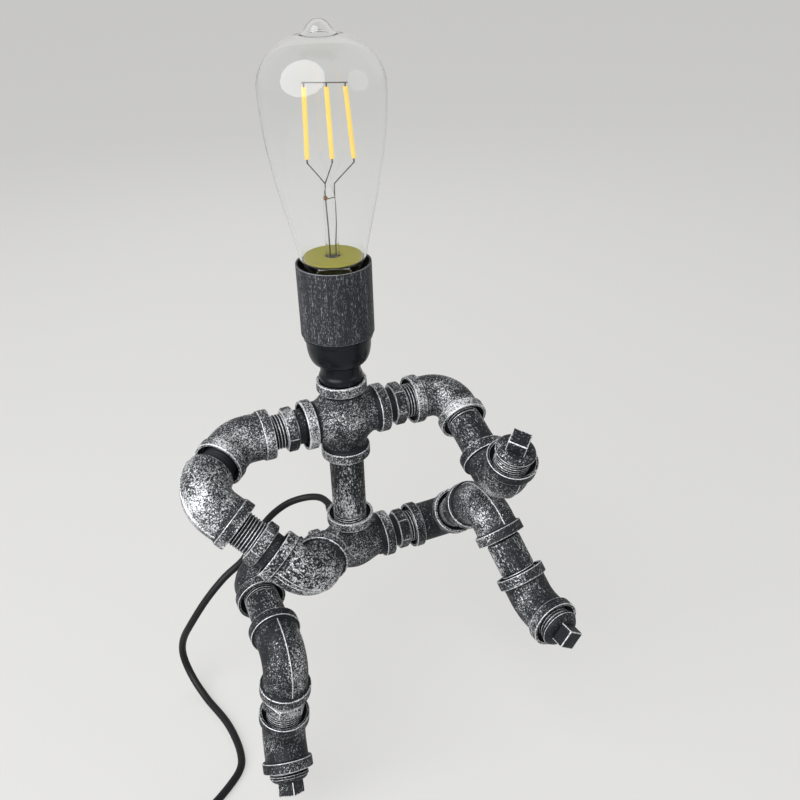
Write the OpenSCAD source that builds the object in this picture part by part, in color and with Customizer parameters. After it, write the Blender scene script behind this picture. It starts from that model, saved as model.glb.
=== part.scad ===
// Seated pipe-fitting robot desk lamp: malleable iron elbows, tee, cross and
// nipples form the body, an upright lampholder and a filament bulb form the head.
// Origin: the point of the seat right under the middle of the pelvis tee.
// X runs to the right as seen from the front, -Y is the front and Z is up. Left and right
// in the names are the sides as seen from the front.

/* [Fittings] */
// Outer diameter of the rolled band round each female end
band_d = 30; // [29:0.5:33]
// Length of that band along the port
band_len = 6; // [4:0.5:8]
// Outer diameter of a cast body between its bands
body_d = 26; // [25:0.5:28]
// Distance from the middle of a 90 degree fitting to its faces
reach = 26; // [25:0.5:32]
// Distance from the middle of a 45 degree elbow to its faces
reach_45 = 20.5; // [20:0.5:26]
// Body diameter of the 45 degree elbow at the left shoulder
shoulder_body_d = 28; // [26:0.5:29]
// Centreline radius of the bend of a 90 degree elbow
bend_r = 14; // [13.5:0.25:16]
// Centreline radius of the bend of a 45 degree elbow
bend_r_45 = 17; // [15:0.5:18]
// Width of the open recess at the mouth of a port
mouth_d = 26.6; // [24:0.2:27]
// Depth of that recess
mouth_depth = 4; // [2:0.5:5]
// Depth to which a port is threaded
port_depth = 13; // [12.5:0.25:13.5]
// Diameter of the passage inside a fitting
passage_d = 17; // [12:0.5:18.5]
// Height of the raised casting seam
seam_h = 0.6; // [0.3:0.1:1]
// Width of the casting seam
seam_w = 1.4; // [0.8:0.1:2.5]
// Radius of the fillets between the branches of the tee and the cross
branch_fillet = 6; // [4:0.5:7]

/* [Threads and pipes] */
// Diameter over the male pipe threads
thread_d = 21; // [20.6:0.1:21.2]
// How far a male end is screwed in
thread_in = 12; // [10:0.5:12]
// Radial play of a swivelling thread
thread_play = 0.05; // [0.03:0.01:0.08]
// Outer diameter of the plain pipes
pipe_d = 21.4; // [21:0.1:22]
// Bore through pipes and nipples
pipe_bore = 15.8; // [12:0.2:17]
// Width across the flats of a nipple's hexagon
hex_flats = 23.5; // [22.5:0.5:26]
// Thickness of that hexagon
hex_t = 7; // [5:0.5:8]
// Plain neck of a nipple beside its hexagon
hex_neck = 5; // [3:0.5:7]

/* [Square head plugs] */
// Length of bare thread behind the hand plugs' flange
hand_plug_thread = 5; // [3:0.5:7]
// Length of bare thread behind the foot plugs' flange
foot_plug_thread = 2; // [1:0.5:4]
// Diameter of the plug's flange
plug_flange_d = 23.4; // [22:0.2:25]
// Thickness of that flange
plug_flange_t = 2; // [1.5:0.25:4]
// Height of the domed shoulder under the head
plug_dome_h = 3; // [2:0.5:4]
// Width of the square head
plug_head = 11; // [9:0.5:12]
// Height of the square head
plug_head_h = 7.5; // [6:0.5:10]

/* [Torso] */
// Length of spine pipe in view between the pelvis tee and the cross
spine_gap = 46; // [40:1:60]

/* [Right arm] */
// Visible length of the shoulder nipple
right_shoulder_gap = 17.5; // [16:0.5:22]
// Turn of the shoulder, 0 hangs straight down, -90 points forward
right_shoulder_turn = -70; // [-75:1:-60]
// Visible length of the forearm pipe
right_forearm_gap = 25; // [24:0.5:35]
// Turn of the hand about the forearm
right_wrist_turn = -92; // [-110:1:-80]

/* [Left arm] */
// Visible length of the shoulder nipple
left_shoulder_gap = 20; // [18:0.5:26]
// Turn of the 45 degree elbow about the shoulder
left_shoulder_turn = 78; // [70:1:90]
// Distance from the 45 degree elbow's face to the middle of the street elbow
street_male = 25; // [24:0.5:30]
// Distance from the middle of the street elbow to its female face
street_reach = 30; // [28:0.5:34]
// Body diameter of the street elbow
street_body_d = 28; // [27:0.5:29]
// Centreline radius of the street elbow's bend
street_bend_r = 17; // [15.5:0.5:18]
// Turn of the street elbow about its male end
left_elbow_turn = -28; // [-35:1:-20]
// Visible length of the wrist nipple
left_wrist_gap = 23.5; // [22:0.5:30]
// Turn of the hand about the wrist nipple
left_wrist_turn = -17; // [-30:1:0]

/* [Right leg] */
// Visible length of the hip nipple
right_hip_gap = 15.5; // [15:0.5:20]
// Turn of the thigh, 0 hangs straight down, -90 points forward
right_hip_turn = -133; // [-134:1:-128]
// Visible length of the thigh pipe
right_thigh_gap = 20.5; // [18:0.5:24]
// Turn of the knee about the thigh
right_knee_turn = 100; // [96:1:104]
// Visible length of the shin pipe
right_shin_gap = 22.5; // [18:0.5:24]
// Turn of the foot about the shin
right_foot_turn = -178; // [-190:1:-170]

/* [Left leg] */
// Visible length of the hip nipple
left_hip_gap = 17; // [15:0.5:22]
// Turn of the thigh, 0 hangs straight down, 90 points forward
left_hip_turn = 87; // [80:1:92]
// Visible length of the thigh pipe
left_thigh_gap = 23; // [20:0.5:30]
// Turn of the knee about the thigh
left_knee_turn = -96; // [-104:1:-90]
// Visible length of the shin nipple
left_shin_gap = 18; // [16:0.5:26]
// Turn of the foot about the shin
left_foot_turn = -176; // [-185:1:-170]

/* [Lampholder] */
// Outer diameter of the metal sleeve
sleeve_d = 42; // [40:0.5:46]
// Wall of the sleeve
sleeve_wall = 1.2; // [0.8:0.1:1.6]
// Height of the sleeve
sleeve_h = 42; // [38:0.5:48]
// Height of the lip that the sleeve stands on
lip_h = 3; // [2:0.5:4]
// How far the lip steps in from the sleeve
lip_step = 0.8; // [0.5:0.1:1.5]
// Diameter of the domed cup at its top
cup_d = 38; // [36:0.5:39]
// Height of the domed cup below its lip
cup_h = 16; // [14:0.5:20]
// Diameter of the cup's flat foot
cup_foot_d = 24; // [23:0.5:28]
// Wall of the cup
cup_wall = 1.6; // [1.2:0.1:2.5]
// Visible height of the neck between the cross and the cup
neck_gap = 12; // [10:0.5:18]
// Diameter of the neck
neck_d = 22.6; // [21.6:0.2:23.5]
// Diameter of the threaded stud that holds the cup
stud_d = 10; // [9:0.5:12]
// Distance from the sleeve's outside in to the insulating body
holder_inset = 4.5; // [4.2:0.1:5]
// Inner diameter of the brass screw shell
shell_bore = 26.4; // [26.4:0.1:27]
// Wall of the screw shell
shell_wall = 0.5; // [0.4:0.1:0.8]
// Height of the screw shell
shell_h = 23; // [20:0.5:25]

/* [Bulb] */
// Largest diameter of the glass
bulb_d = 65; // [60:0.5:68]
// Height of the widest ring above the top of the sleeve
bulb_equator = 91; // [86:0.5:96]
// Height of the glass dome above its widest ring
bulb_dome = 25; // [22:0.5:30]
// Distance from the sleeve's outside in to the glass at the top of the sleeve
glass_inset = 3.2; // [2.4:0.1:4]
// Thickness of the glass
glass_wall = 1; // [0.8:0.1:1.5]
// Height of the drawn glass tip
tip_h = 6.5; // [5:0.5:9]
// Width of the drawn glass tip at its foot
tip_d = 19; // [15:0.5:22]
// Length of the bulb's screw cap
cap_h = 22; // [20:0.5:24]
// Distance from the inside of the glass in to the yellow base disc
disc_inset = 0.5; // [0.3:0.1:1.5]
// Height of the base disc above the top of the sleeve
disc_rise = 2.4; // [1:0.2:4]
// Length of a filament
filament_len = 35; // [30:0.5:38]
// Diameter of a filament
filament_d = 2.4; // [1.8:0.1:3]
// Diameter of the support wires
wire_d = 0.7; // [0.5:0.1:1]

/* [Cord] */
// Outer diameter of the cord
cord_d = 5; // [4.8:0.1:5.2]
// Length of the strain relief
relief_len = 30; // [24:1:40]
// Width of the cord coil between the middles of its turns
coil_d = 60; // [54:1:64]
// Turns of cord side by side in the coil's lower layer
coil_rows = 4; // [2:1:4]

/* [Switch and plug] */
// Length of the in-line switch
switch_len = 62; // [56:1:70]
// Width of the in-line switch
switch_w = 26; // [24:1:30]
// Height of the in-line switch
switch_h = 17; // [15:0.5:20]
// Length of the rocker
rocker_len = 18; // [16:0.5:20]
// Width of the rocker
rocker_w = 12; // [10:0.5:14]
// Tilt of the rocker to either side
rocker_tilt = 9; // [6:1:10]
// Length of the plug's body
plug_len = 36; // [34:1:40]
// Width of the plug's body
plug_w = 35; // [33:0.5:36]
// Thickness of the plug's body
plug_t = 14; // [13:0.5:15]
// Distance between the two pins
pin_pitch = 19; // [18.5:0.1:19.5]
// Diameter of a pin
pin_d = 4; // [3.9:0.1:4.1]
// Free length of a pin
pin_len = 19; // [18.5:0.5:19.5]

/* [Hidden] */
$fn = 48;
eps = 0.01;
seat_gap = 0.1;          // clearance between parts of one body that only rest together
seat_h = 104;            // height of the seat above the table that the cord lies on
band_edge = 0.7;         // bevel on the edges of a band
body_blend = 1.5;        // length of the cone between a body and its band
bore_r = thread_d / 2 + thread_play;
holder_d = sleeve_d - 2 * holder_inset;
bulb_neck_d = sleeve_d - 2 * glass_inset;
disc_d = bulb_neck_d - 2 * glass_wall - 2 * disc_inset;
stem_d = 8.4;            // tube of the bulb's glass stem
disc_bore = 14.4;        // hole of the base disc round the stem
black = [0.09, 0.09, 0.10];
pewter = [0.30, 0.31, 0.32];
silver = [0.62, 0.63, 0.64];
brass = [0.80, 0.65, 0.32];
amber = [0.93, 0.76, 0.28];

// ---- placing: each fitting is met along +Z and leaves towards +X ----
function turn(a) = [[cos(a), -sin(a), 0, 0], [sin(a), cos(a), 0, 0], [0, 0, 1, 0], [0, 0, 0, 1]];
function bend(a) = [[cos(a), 0, sin(a), 0], [0, 1, 0, 0], [-sin(a), 0, cos(a), 0], [0, 0, 0, 1]];
function along(d) = [[1, 0, 0, 0], [0, 1, 0, 0], [0, 0, 1, d], [0, 0, 0, 1]];

pelvis_at = along(band_d / 2);
spine_at = pelvis_at * along(reach);
chest_at = spine_at * along(spine_gap + reach);
neck_at = chest_at * along(reach);
to_right = bend(90);
to_left = turn(180) * bend(90);

right_shoulder_at = chest_at * to_right * along(reach);
right_elbow_at = right_shoulder_at * along(right_shoulder_gap + reach) * turn(right_shoulder_turn);
right_forearm_at = right_elbow_at * bend(90) * along(reach);
right_hand_at = right_forearm_at * along(right_forearm_gap + reach) * turn(right_wrist_turn);
right_hand_plug_at = right_hand_at * bend(90) * along(reach);

left_shoulder_at = chest_at * to_left * along(reach);
left_shoulder_elbow_at = left_shoulder_at * along(left_shoulder_gap + reach_45) * turn(left_shoulder_turn);
left_street_at = left_shoulder_elbow_at * bend(45) * along(reach_45 + street_male) * turn(left_elbow_turn);
left_wrist_at = left_street_at * bend(90) * along(street_reach);
left_hand_at = left_wrist_at * along(left_wrist_gap + reach) * turn(left_wrist_turn);
left_hand_plug_at = left_hand_at * bend(90) * along(reach);

right_hip_at = pelvis_at * to_right * along(reach);
right_hip_elbow_at = right_hip_at * along(right_hip_gap + reach) * turn(right_hip_turn);
right_thigh_at = right_hip_elbow_at * bend(90) * along(reach);
right_knee_at = right_thigh_at * along(right_thigh_gap + reach) * turn(right_knee_turn);
right_shin_at = right_knee_at * bend(90) * along(reach);
right_foot_at = right_shin_at * along(right_shin_gap + reach_45) * turn(right_foot_turn);
right_foot_plug_at = right_foot_at * bend(45) * along(reach_45);

left_hip_at = pelvis_at * to_left * along(reach);
left_hip_elbow_at = left_hip_at * along(left_hip_gap + reach) * turn(left_hip_turn);
left_thigh_at = left_hip_elbow_at * bend(90) * along(reach);
left_knee_at = left_thigh_at * along(left_thigh_gap + reach) * turn(left_knee_turn);
left_shin_at = left_knee_at * bend(90) * along(reach);
left_foot_at = left_shin_at * along(left_shin_gap + reach_45) * turn(left_foot_turn);
left_foot_plug_at = left_foot_at * bend(45) * along(reach_45);

// ---- fittings ----

// one branch of a fitting from distance z0 out to its face, along +Z
module branch(z0, out, bd)
    rotate_extrude() polygon([[0, z0], [bd / 2, z0],
        [bd / 2, out - band_len - body_blend],
        [band_d / 2 - band_edge, out - band_len],
        [band_d / 2, out - band_len + band_edge],
        [band_d / 2, out - band_edge],
        [band_d / 2 - band_edge, out], [0, out]]);

// the threaded hole of a port, with its flared mouth
module port_hole(out)
    rotate_extrude() polygon([[0, out - port_depth], [bore_r, out - port_depth],
        [bore_r, out - mouth_depth],
        [mouth_d / 2, out - mouth_depth + 2],
        [mouth_d / 2, out + 1], [0, out + 1]]);

// quarter or eighth ring through the bend of an elbow, of any section
module bend_sweep(a, r)
    translate([r, 0, -r * tan(a / 2)]) rotate([90, 0, 0]) rotate([0, 0, 180 - a])
        rotate_extrude(angle = a) translate([r, 0]) children();

// the raised seam along the outside of a bend, cut to the bend's far side
module bend_seam(a, r, bd)
    translate([r, 0, -r * tan(a / 2)]) rotate([90, 0, 0]) rotate([0, 0, 180 - a])
        rotate_extrude(angle = a)
            translate([r + bd / 4, -seam_w / 2]) square([bd / 4 + seam_h, seam_w]);

// elbow with two female ends; a is its angle, out its reach, bd its body, r its bend
module elbow(a, out, bd, r) {
    t = r * tan(a / 2);
    difference() {
        union() {
            bend_sweep(a, r) circle(d = bd);
            mirror([0, 0, 1]) branch(t, out, bd);
            multmatrix(bend(a)) branch(t, out, bd);
            bend_seam(a, r, bd);
            mirror([0, 0, 1]) seam_strip(t, out, bd);
            multmatrix(bend(a)) seam_strip(t, out, bd);
        }
        bend_sweep(a, r) circle(d = passage_d);
        mirror([0, 0, 1]) straight_passage(t, out);
        multmatrix(bend(a)) straight_passage(t, out);
        mirror([0, 0, 1]) port_hole(out);
        multmatrix(bend(a)) port_hole(out);
    }
}

// straight part of the passage, a little wider than the part round the bend
module straight_passage(t, out)
    translate([0, 0, t - 1]) cylinder(d = passage_d + 0.6, h = out - t);

// the seam's straight run from the bend to the band
module seam_strip(t, out, bd)
    translate([-bd / 2 - seam_h, -seam_w / 2, t])
        cube([bd / 4 + seam_h, seam_w, out - band_len - body_blend - t]);

// street elbow: male end behind, female end towards +X
module street_elbow() {
    r = street_bend_r;
    difference() {
        union() {
            bend_sweep(90, r) circle(d = street_body_d);
            bend_seam(90, r, street_body_d);
            multmatrix(bend(90)) branch(r, street_reach, street_body_d);
            multmatrix(bend(90)) seam_strip(r, street_reach, street_body_d);
            mirror([0, 0, 1]) rotate_extrude() polygon([[0, r], [street_body_d / 2, r],
                [street_body_d / 2 - 0.7, r + 1.5], [thread_d / 2, r + 3.5],
                [thread_d / 2, street_male + thread_in - 1],
                [thread_d / 2 - 1, street_male + thread_in], [0, street_male + thread_in]]);
        }
        bend_sweep(90, r) circle(d = pipe_bore);
        mirror([0, 0, 1]) translate([0, 0, r - 1]) cylinder(d = pipe_bore + 0.6, h = street_male + thread_in);
        multmatrix(bend(90)) translate([0, 0, r - 1]) cylinder(d = pipe_bore + 0.6, h = street_reach - r);
        multmatrix(bend(90)) port_hole(street_reach);
    }
}

// rounded web in the corner between the branches along +X and +Z
module corner_web() {
    s = body_d / 2 + branch_fillet;
    intersection() {
        difference() {
            translate([0, -s / 2, 0]) cube([s, s, s]);
            translate([s, 0, s]) rotate([90, 0, 0]) cylinder(r = branch_fillet, h = 2 * s, center = true);
        }
        sphere(r = body_d / 2 * sqrt(2) + branch_fillet * (sqrt(2) - 1) - 0.3);
    }
}

// body with branches along the listed turns about Y: 0 is up, 90 towards +X
module branched(turns, webs)
    difference() {
        union() {
            sphere(d = body_d + 2.4);
            for (a = turns) multmatrix(bend(a)) branch(0, reach, body_d);
            for (a = webs) multmatrix(bend(a)) corner_web();
        }
        for (a = turns) multmatrix(bend(a)) cylinder(d = passage_d, h = reach);
        for (a = turns) multmatrix(bend(a)) port_hole(reach);
    }

// ---- nipples, pipes and plugs: z = 0 is the face that they leave ----

// male end of a nipple or pipe from z0, screwed in below z = 0
module male_end(z1)
    translate([0, 0, -thread_in]) {
        cylinder(d1 = thread_d - 2, d2 = thread_d, h = 1);
        translate([0, 0, 1]) cylinder(d = thread_d, h = thread_in - 1 + z1);
    }

// hexagon with its corners turned off
module hexagon(h)
    intersection() {
        cylinder(d = hex_flats / cos(30), h = h, $fn = 6);
        rotate_extrude() polygon([[0, 0], [hex_flats / 2, 0], [hex_flats / 2 + 1.6, 0.9],
            [hex_flats / 2 + 1.6, h - 0.9], [hex_flats / 2, h], [0, h]]);
    }

// hex nipple that shows over gap; its hexagon starts at hex_neck from the first face
module hex_nipple(gap)
    color(pewter) difference() {
        union() {
            male_end(hex_neck);
            translate([0, 0, hex_neck]) hexagon(hex_t);
            translate([0, 0, gap]) mirror([0, 0, 1]) male_end(gap - hex_neck - hex_t);
        }
        translate([0, 0, -thread_in - 1]) cylinder(d = pipe_bore, h = gap + 2 * thread_in + 2);
    }

// plain pipe that shows over gap, with the start of its threads at both faces
module pipe_nipple(gap)
    color(pewter) difference() {
        union() {
            male_end(1);
            translate([0, 0, 1]) cylinder(d = pipe_d, h = gap - 2);
            translate([0, 0, gap]) mirror([0, 0, 1]) male_end(1);
        }
        translate([0, 0, -thread_in - 1]) cylinder(d = pipe_bore, h = gap + 2 * thread_in + 2);
    }

// square head plug whose flange stands bare off the face
module square_plug(bare)
    color(pewter) {
        male_end(bare);
        translate([0, 0, bare]) rotate_extrude() polygon([[0, 0], [plug_flange_d / 2 - 0.4, 0],
            [plug_flange_d / 2, 0.4], [plug_flange_d / 2, plug_flange_t - 0.4],
            [plug_flange_d / 2 - 0.6, plug_flange_t],
            for (k = [1 : 6]) [plug_head / 2 + (plug_flange_d / 2 - 0.6 - plug_head / 2) * cos(15 * k),
                plug_flange_t + plug_dome_h * sin(15 * k)], [0, plug_flange_t + plug_dome_h]]);
        translate([0, 0, bare + plug_flange_t + plug_dome_h / 2]) rotate([0, 0, 45]) intersection() {
            translate([-plug_head / 2, -plug_head / 2, 0])
                cube([plug_head, plug_head, plug_dome_h / 2 + plug_head_h]);
            rotate_extrude() polygon([[0, 0], [plug_head * 0.72, 0],
                [plug_head * 0.72, plug_dome_h / 2 + plug_head_h - 0.8],
                [plug_head * 0.66, plug_dome_h / 2 + plug_head_h], [0, plug_dome_h / 2 + plug_head_h]]);
        }
    }

// ---- pelvis and its cord ----
bush_r = 6;                      // radius of the bush's shank in the tee's wall
bush_face = body_d / 2 + 0.9;    // where the gland's collar stands, off the tee's axis
exit_y = bush_face + relief_len;

module pelvis_tee()
    color(pewter) difference() {
        multmatrix(pelvis_at) branched([0, 90, -90], [0, -90]);
        translate([0, 0, band_d / 2]) rotate([-90, 0, 0]) cylinder(r = bush_r + seat_gap, h = body_d);
    }

// collar nut of the gland, against the back of the tee
module cord_gland()
    color(black) translate([0, bush_face, band_d / 2]) rotate([-90, 0, 0]) difference() {
        union() {
            translate([0, 0, -bush_face + passage_d / 2 - 1]) cylinder(r = bush_r, h = bush_face - passage_d / 2 + 1);
            cylinder(r = 8.5, h = 4, $fn = 6);
            translate([0, 0, 4]) cylinder(r = 6.6, h = 2.5);
        }
        translate([0, 0, -20]) cylinder(d = cord_d + 0.4, h = 40);
        translate([0, 0, 3]) cylinder(d = cord_d + 3.2, h = 10);
    }

// tapered rubber strain relief round the cord
module cord_bush()
    color(black) translate([0, bush_face, band_d / 2]) rotate([-90, 0, 0]) difference() {
        union() {
            translate([0, 0, 3 + seat_gap]) cylinder(d = cord_d + 3, h = 4);
            translate([0, 0, 6.6]) cylinder(d1 = cord_d + 5, d2 = cord_d + 1.6, h = relief_len - 6.6);
        }
        cylinder(d = cord_d, h = relief_len + 1);
    }

// route of the cord from inside the gland to the coil, through these points
cord_path = [[0, 12, 15], [0, 24, 15], [0, 36, 15], [0, 48, 15], [-3, 58, 14], [-11, 66, 11], [-23, 69, 8],
    [-35, 66, 5], [-46, 58, 3], [-56, 48, 0], [-66, 38, -5], [-81, 35, -13], [-95, 35, -27], [-108, 37, -46],
    [-115, 43, -64], [-117, 44, -80], [-114, 35, -95], [-108, 16, -101.5], [-101, -7, -101.5],
    [-98.5, -27, -101.5], [-99.5, -41, -101.5], [-103.5, -49, -101.5], [-111, -56, -101.5],
    [-119, -62, -101.5], [-127, -68, -100], [-136, -74.8, -98], [-144, -80.8, -98], [-168, -98.8, -98],
    [-192, -116.8, -98], [-204, -125.8, -100], [-216, -134.8, -101.5]];
cord_sides = 8;
tube_ref = [0.5, -0.6, 0.6];              // lies along no part of the route

function on_curve(p0, p1, p2, p3, t) =
    0.5 * (2 * p1 + (p2 - p0) * t + (2 * p0 - 5 * p1 + 4 * p2 - p3) * t * t
        + (3 * p1 - p0 - 3 * p2 + p3) * t * t * t);
function sweep_points(path, steps) = let (n = len(path) - 1)
    [for (k = [0 : n - 1]) for (j = [0 : steps - 1])
        on_curve(path[max(k - 1, 0)], path[k], path[k + 1], path[min(k + 2, n)], j / steps), path[n]];
function unit(v) = v / norm(v);
function heading(p, k) = unit(p[min(k + 1, len(p) - 1)] - p[max(k - 1, 0)]);

// round tube swept along a list of points
module tube(p, d) {
    n = len(p);
    rings = [for (k = [0 : n - 1]) let (h = heading(p, k), x = unit(cross(tube_ref, h)), y = cross(h, x))
        for (s = [0 : cord_sides - 1]) p[k] + d / 2 * (x * cos(360 / cord_sides * s) + y * sin(360 / cord_sides * s))];
    polyhedron(rings, concat(
        [[for (s = [cord_sides - 1 : -1 : 0]) s]],
        [for (k = [0 : n - 2]) for (s = [0 : cord_sides - 1]) let (t = (s + 1) % cord_sides, b = k * cord_sides)
            each [[b + s, b + t, b + cord_sides + t], [b + s, b + cord_sides + t, b + cord_sides + s]]],
        [[for (s = [0 : cord_sides - 1]) (n - 1) * cord_sides + s]]));
}

module cord_tube() color(black) tube(sweep_points(cord_path, 2), cord_d);

// coil of the spare cord: two layers of turns, lying on the table; the cord comes in
// along its outermost lower turn
cord_way = atan2(-0.6, -0.8);             // heading of the cord as it leaves the route
coil_w = coil_rows * cord_d;
outer_turn = coil_d / 2 + coil_w / 2 - cord_d / 2;
coil_at = [-216, -134.8] + outer_turn * [0.6, -0.8];
module cord_coil()
    color(black) translate([coil_at[0], coil_at[1], -seat_h]) rotate_extrude() polygon([
        [coil_d / 2 - coil_w / 2 + 1, 0], [coil_d / 2 + coil_w / 2 - 1, 0],
        [coil_d / 2 + coil_w / 2, 1], [coil_d / 2 + coil_w / 2, 2 * cord_d - 1],
        [coil_d / 2 + coil_w / 2 - 1, 2 * cord_d], [coil_d / 2 - coil_w / 2 + 1, 2 * cord_d],
        [coil_d / 2 - coil_w / 2, 2 * cord_d - 1], [coil_d / 2 - coil_w / 2, 1]]);

// ---- in-line switch: z = 0 is the table, X runs along the cord ----
cord_rise = 6;                            // height of the cord's middle inside the switch
switch_split = 9;                         // height of the joint between base and cover
case_wall = 2;
rocker_axis = switch_h - 3.2;             // height of the rocker's pivot
pivot_d = 2.4;
rocker_gap = 0.4;                         // gap all round the rocker
module at_switch() translate([-168, -98.8, -seat_h]) rotate([0, 0, cord_way]) children();

// outline of the switch: a rounded boat shape
module switch_outline(inset) {
    l = switch_len / 2 - inset;
    w = switch_w / 2 - inset;
    intersection() {
        translate([-l, -w]) square([2 * l, 2 * w]);
        translate([0, w - 62]) circle(r = 62, $fn = 96);
        translate([0, 62 - w]) circle(r = 62, $fn = 96);
        circle(r = l, $fn = 96);
    }
}

module switch_base()
    color(black) at_switch() difference() {
        union() {
            translate([0, 0, 0.6]) linear_extrude(switch_split - 0.6) switch_outline(0);
            linear_extrude(0.6 + eps) switch_outline(0.6);
        }
        translate([0, 0, cord_rise]) rotate([0, 90, 0]) cylinder(d = cord_d + 0.5, h = switch_len + 2, center = true);
    }

module switch_cover()
    color(black) at_switch() difference() {
        union() {
            translate([0, 0, switch_split + seat_gap]) linear_extrude(switch_h - 1.2 - switch_split - seat_gap)
                switch_outline(0);
            translate([0, 0, switch_h - 1.2 - eps]) linear_extrude(1.2 + eps) switch_outline(1.2);
        }
        translate([-rocker_len / 2 - rocker_gap, -rocker_w / 2 - rocker_gap, switch_split])
            cube([rocker_len + 2 * rocker_gap, rocker_w + 2 * rocker_gap, switch_h]);
        translate([0, 0, rocker_axis]) rotate([90, 0, 0])
            cylinder(d = pivot_d + 0.02, h = rocker_w + 2 * rocker_gap + 2 * case_wall, center = true);
    }

// pin across the opening that the rocker tilts on
module switch_pivot()
    color(silver) at_switch() translate([0, 0, rocker_axis]) rotate([90, 0, 0])
        cylinder(d = pivot_d, h = rocker_w + 2 * rocker_gap + 2 * case_wall - 2 * seat_gap, center = true);

// rocker with two dished wings, resting on its off side
module switch_rocker()
    color(black) at_switch() translate([0, 0, rocker_axis]) rotate([0, rocker_tilt, 0]) difference() {
        rotate([90, 0, 0]) linear_extrude(rocker_w, center = true) polygon([
            [-rocker_len / 2 + 0.4, 0.6], [-rocker_len / 2 + 1, -1], [-3, -2.6], [3, -2.6], [rocker_len / 2 - 1, -1],
            [rocker_len / 2 - 0.4, 0.6], [rocker_len / 2 - 0.6, 4.6], [rocker_len / 4, 3.6], [0, 3.4],
            [-rocker_len / 4, 3.6], [-rocker_len / 2 + 0.6, 4.6]]);
        rotate([90, 0, 0]) cylinder(d = pivot_d + 2 * thread_play, h = rocker_w + 1, center = true);
    }

// ---- flat two-pin mains plug beside the coil: Z is its pins' direction ----
plug_gap = 12;                            // cord between the coil and the plug's tail
module at_plug()
    translate([coil_at[0], coil_at[1], plug_t / 2 - seat_h]) rotate([0, 0, cord_way + 180])
        translate([plug_gap, cord_d / 2 - outer_turn, 0]) rotate([0, 90, 0]) children();

tail_len = 24;                            // tapered tail of the plug
root_d = pin_d + 2;                       // collar of a pin inside the body
root_len = 8;
pin_tip = 0.6;                            // bevel at a pin's end
module mains_plug()
    color(black) at_plug() difference() {
        union() {
            cylinder(d1 = cord_d + 1.6, d2 = 10, h = tail_len);
            translate([-plug_t / 2, 0, 0]) rotate([0, 90, 0]) linear_extrude(plug_t) mirror([1, 0])
                polygon([[tail_len - 2, -5], [tail_len + 6, -8], [tail_len + 20, -plug_w / 2 + 2],
                    [tail_len + plug_len - 4, -plug_w / 2], [tail_len + plug_len, -plug_w / 2 + 3],
                    [tail_len + plug_len, plug_w / 2 - 3], [tail_len + plug_len - 4, plug_w / 2],
                    [tail_len + 20, plug_w / 2 - 2], [tail_len + 6, 8], [tail_len - 2, 5]]);
        }
        for (y = [-1, 1]) translate([0, y * pin_pitch / 2, tail_len + plug_len - root_len])
            cylinder(d = root_d + 0.04, h = root_len + 1);
    }

module plug_pins()
    color(silver) at_plug() for (y = [-1, 1]) translate([0, y * pin_pitch / 2, tail_len + plug_len]) {
        translate([0, 0, seat_gap - root_len]) cylinder(d = root_d, h = root_len - seat_gap);
        translate([0, 0, -1]) cylinder(d = pin_d, h = pin_len - pin_tip + 1);
        translate([0, 0, pin_len - pin_tip]) cylinder(d1 = pin_d, d2 = pin_d - 2 * pin_tip, h = pin_tip);
    }

// ---- torso and head ----
module spine_pipe() multmatrix(spine_at) pipe_nipple(spine_gap);

module chest_cross() color(pewter) multmatrix(chest_at) branched([0, 90, 180, -90], [0, 90, 180, -90]);

cup_z = neck_gap;                         // foot of the cup above the cross
sleeve_z = cup_z + cup_h + lip_h;         // foot of the sleeve
rim_z = sleeve_z + sleeve_h;              // top of the sleeve
floor_z = cup_z + cup_wall;               // inner floor of the cup
holder_z = cup_z + cup_h + 1;             // foot of the insulating body
shell_z = rim_z - 13 - shell_h;           // foot of the screw shell

// hollow threaded stud: screwed into the cross, carries the cup and its nut
module neck_stud()
    color(black) multmatrix(neck_at) difference() {
        union() {
            male_end(0.5);
            translate([0, 0, 0.5]) cylinder(d1 = neck_d + 1.4, d2 = neck_d, h = neck_gap - 0.5 - seat_gap);
            cylinder(d = stud_d, h = floor_z + 7);
        }
        translate([0, 0, -thread_in - 1]) cylinder(d = stud_d - 3, h = thread_in + floor_z + 9);
    }

// nut that clamps the cup on the stud
module cup_nut()
    color(silver) multmatrix(neck_at) translate([0, 0, floor_z + seat_gap]) difference() {
        cylinder(d = stud_d + 6, h = 4, $fn = 6);
        translate([0, 0, -1]) cylinder(d = stud_d + 2 * thread_play, h = 6);
    }

// half profile of the cup's bowl, from its foot to below the lip
function bowl(d_top, d_foot, h) = let (b = h / sqrt(1 - pow(d_foot / d_top, 2)))
    [for (k = [0 : 12]) let (z = h * k / 12) [d_top / 2 * sqrt(1 - pow((h - z) / b, 2)), z]];

module lamp_cup() {
    outer = bowl(cup_d, cup_foot_d, cup_h);
    inner = bowl(cup_d - 2 * cup_wall, cup_foot_d - 2 * cup_wall, cup_h - cup_wall);
    lip_r = sleeve_d / 2 - lip_step;
    color(black) multmatrix(neck_at) translate([0, 0, cup_z]) difference() {
        rotate_extrude() polygon([[stud_d / 2 + seat_gap, 0], each outer,
            [lip_r, cup_h], [lip_r, cup_h + lip_h - seat_gap],
            [cup_d / 2 - cup_wall, cup_h + lip_h - seat_gap],
            for (k = [12 : -1 : 0]) [inner[k][0], inner[k][1] + cup_wall],
            [stud_d / 2 + seat_gap, cup_wall]]);
    }
}

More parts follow.
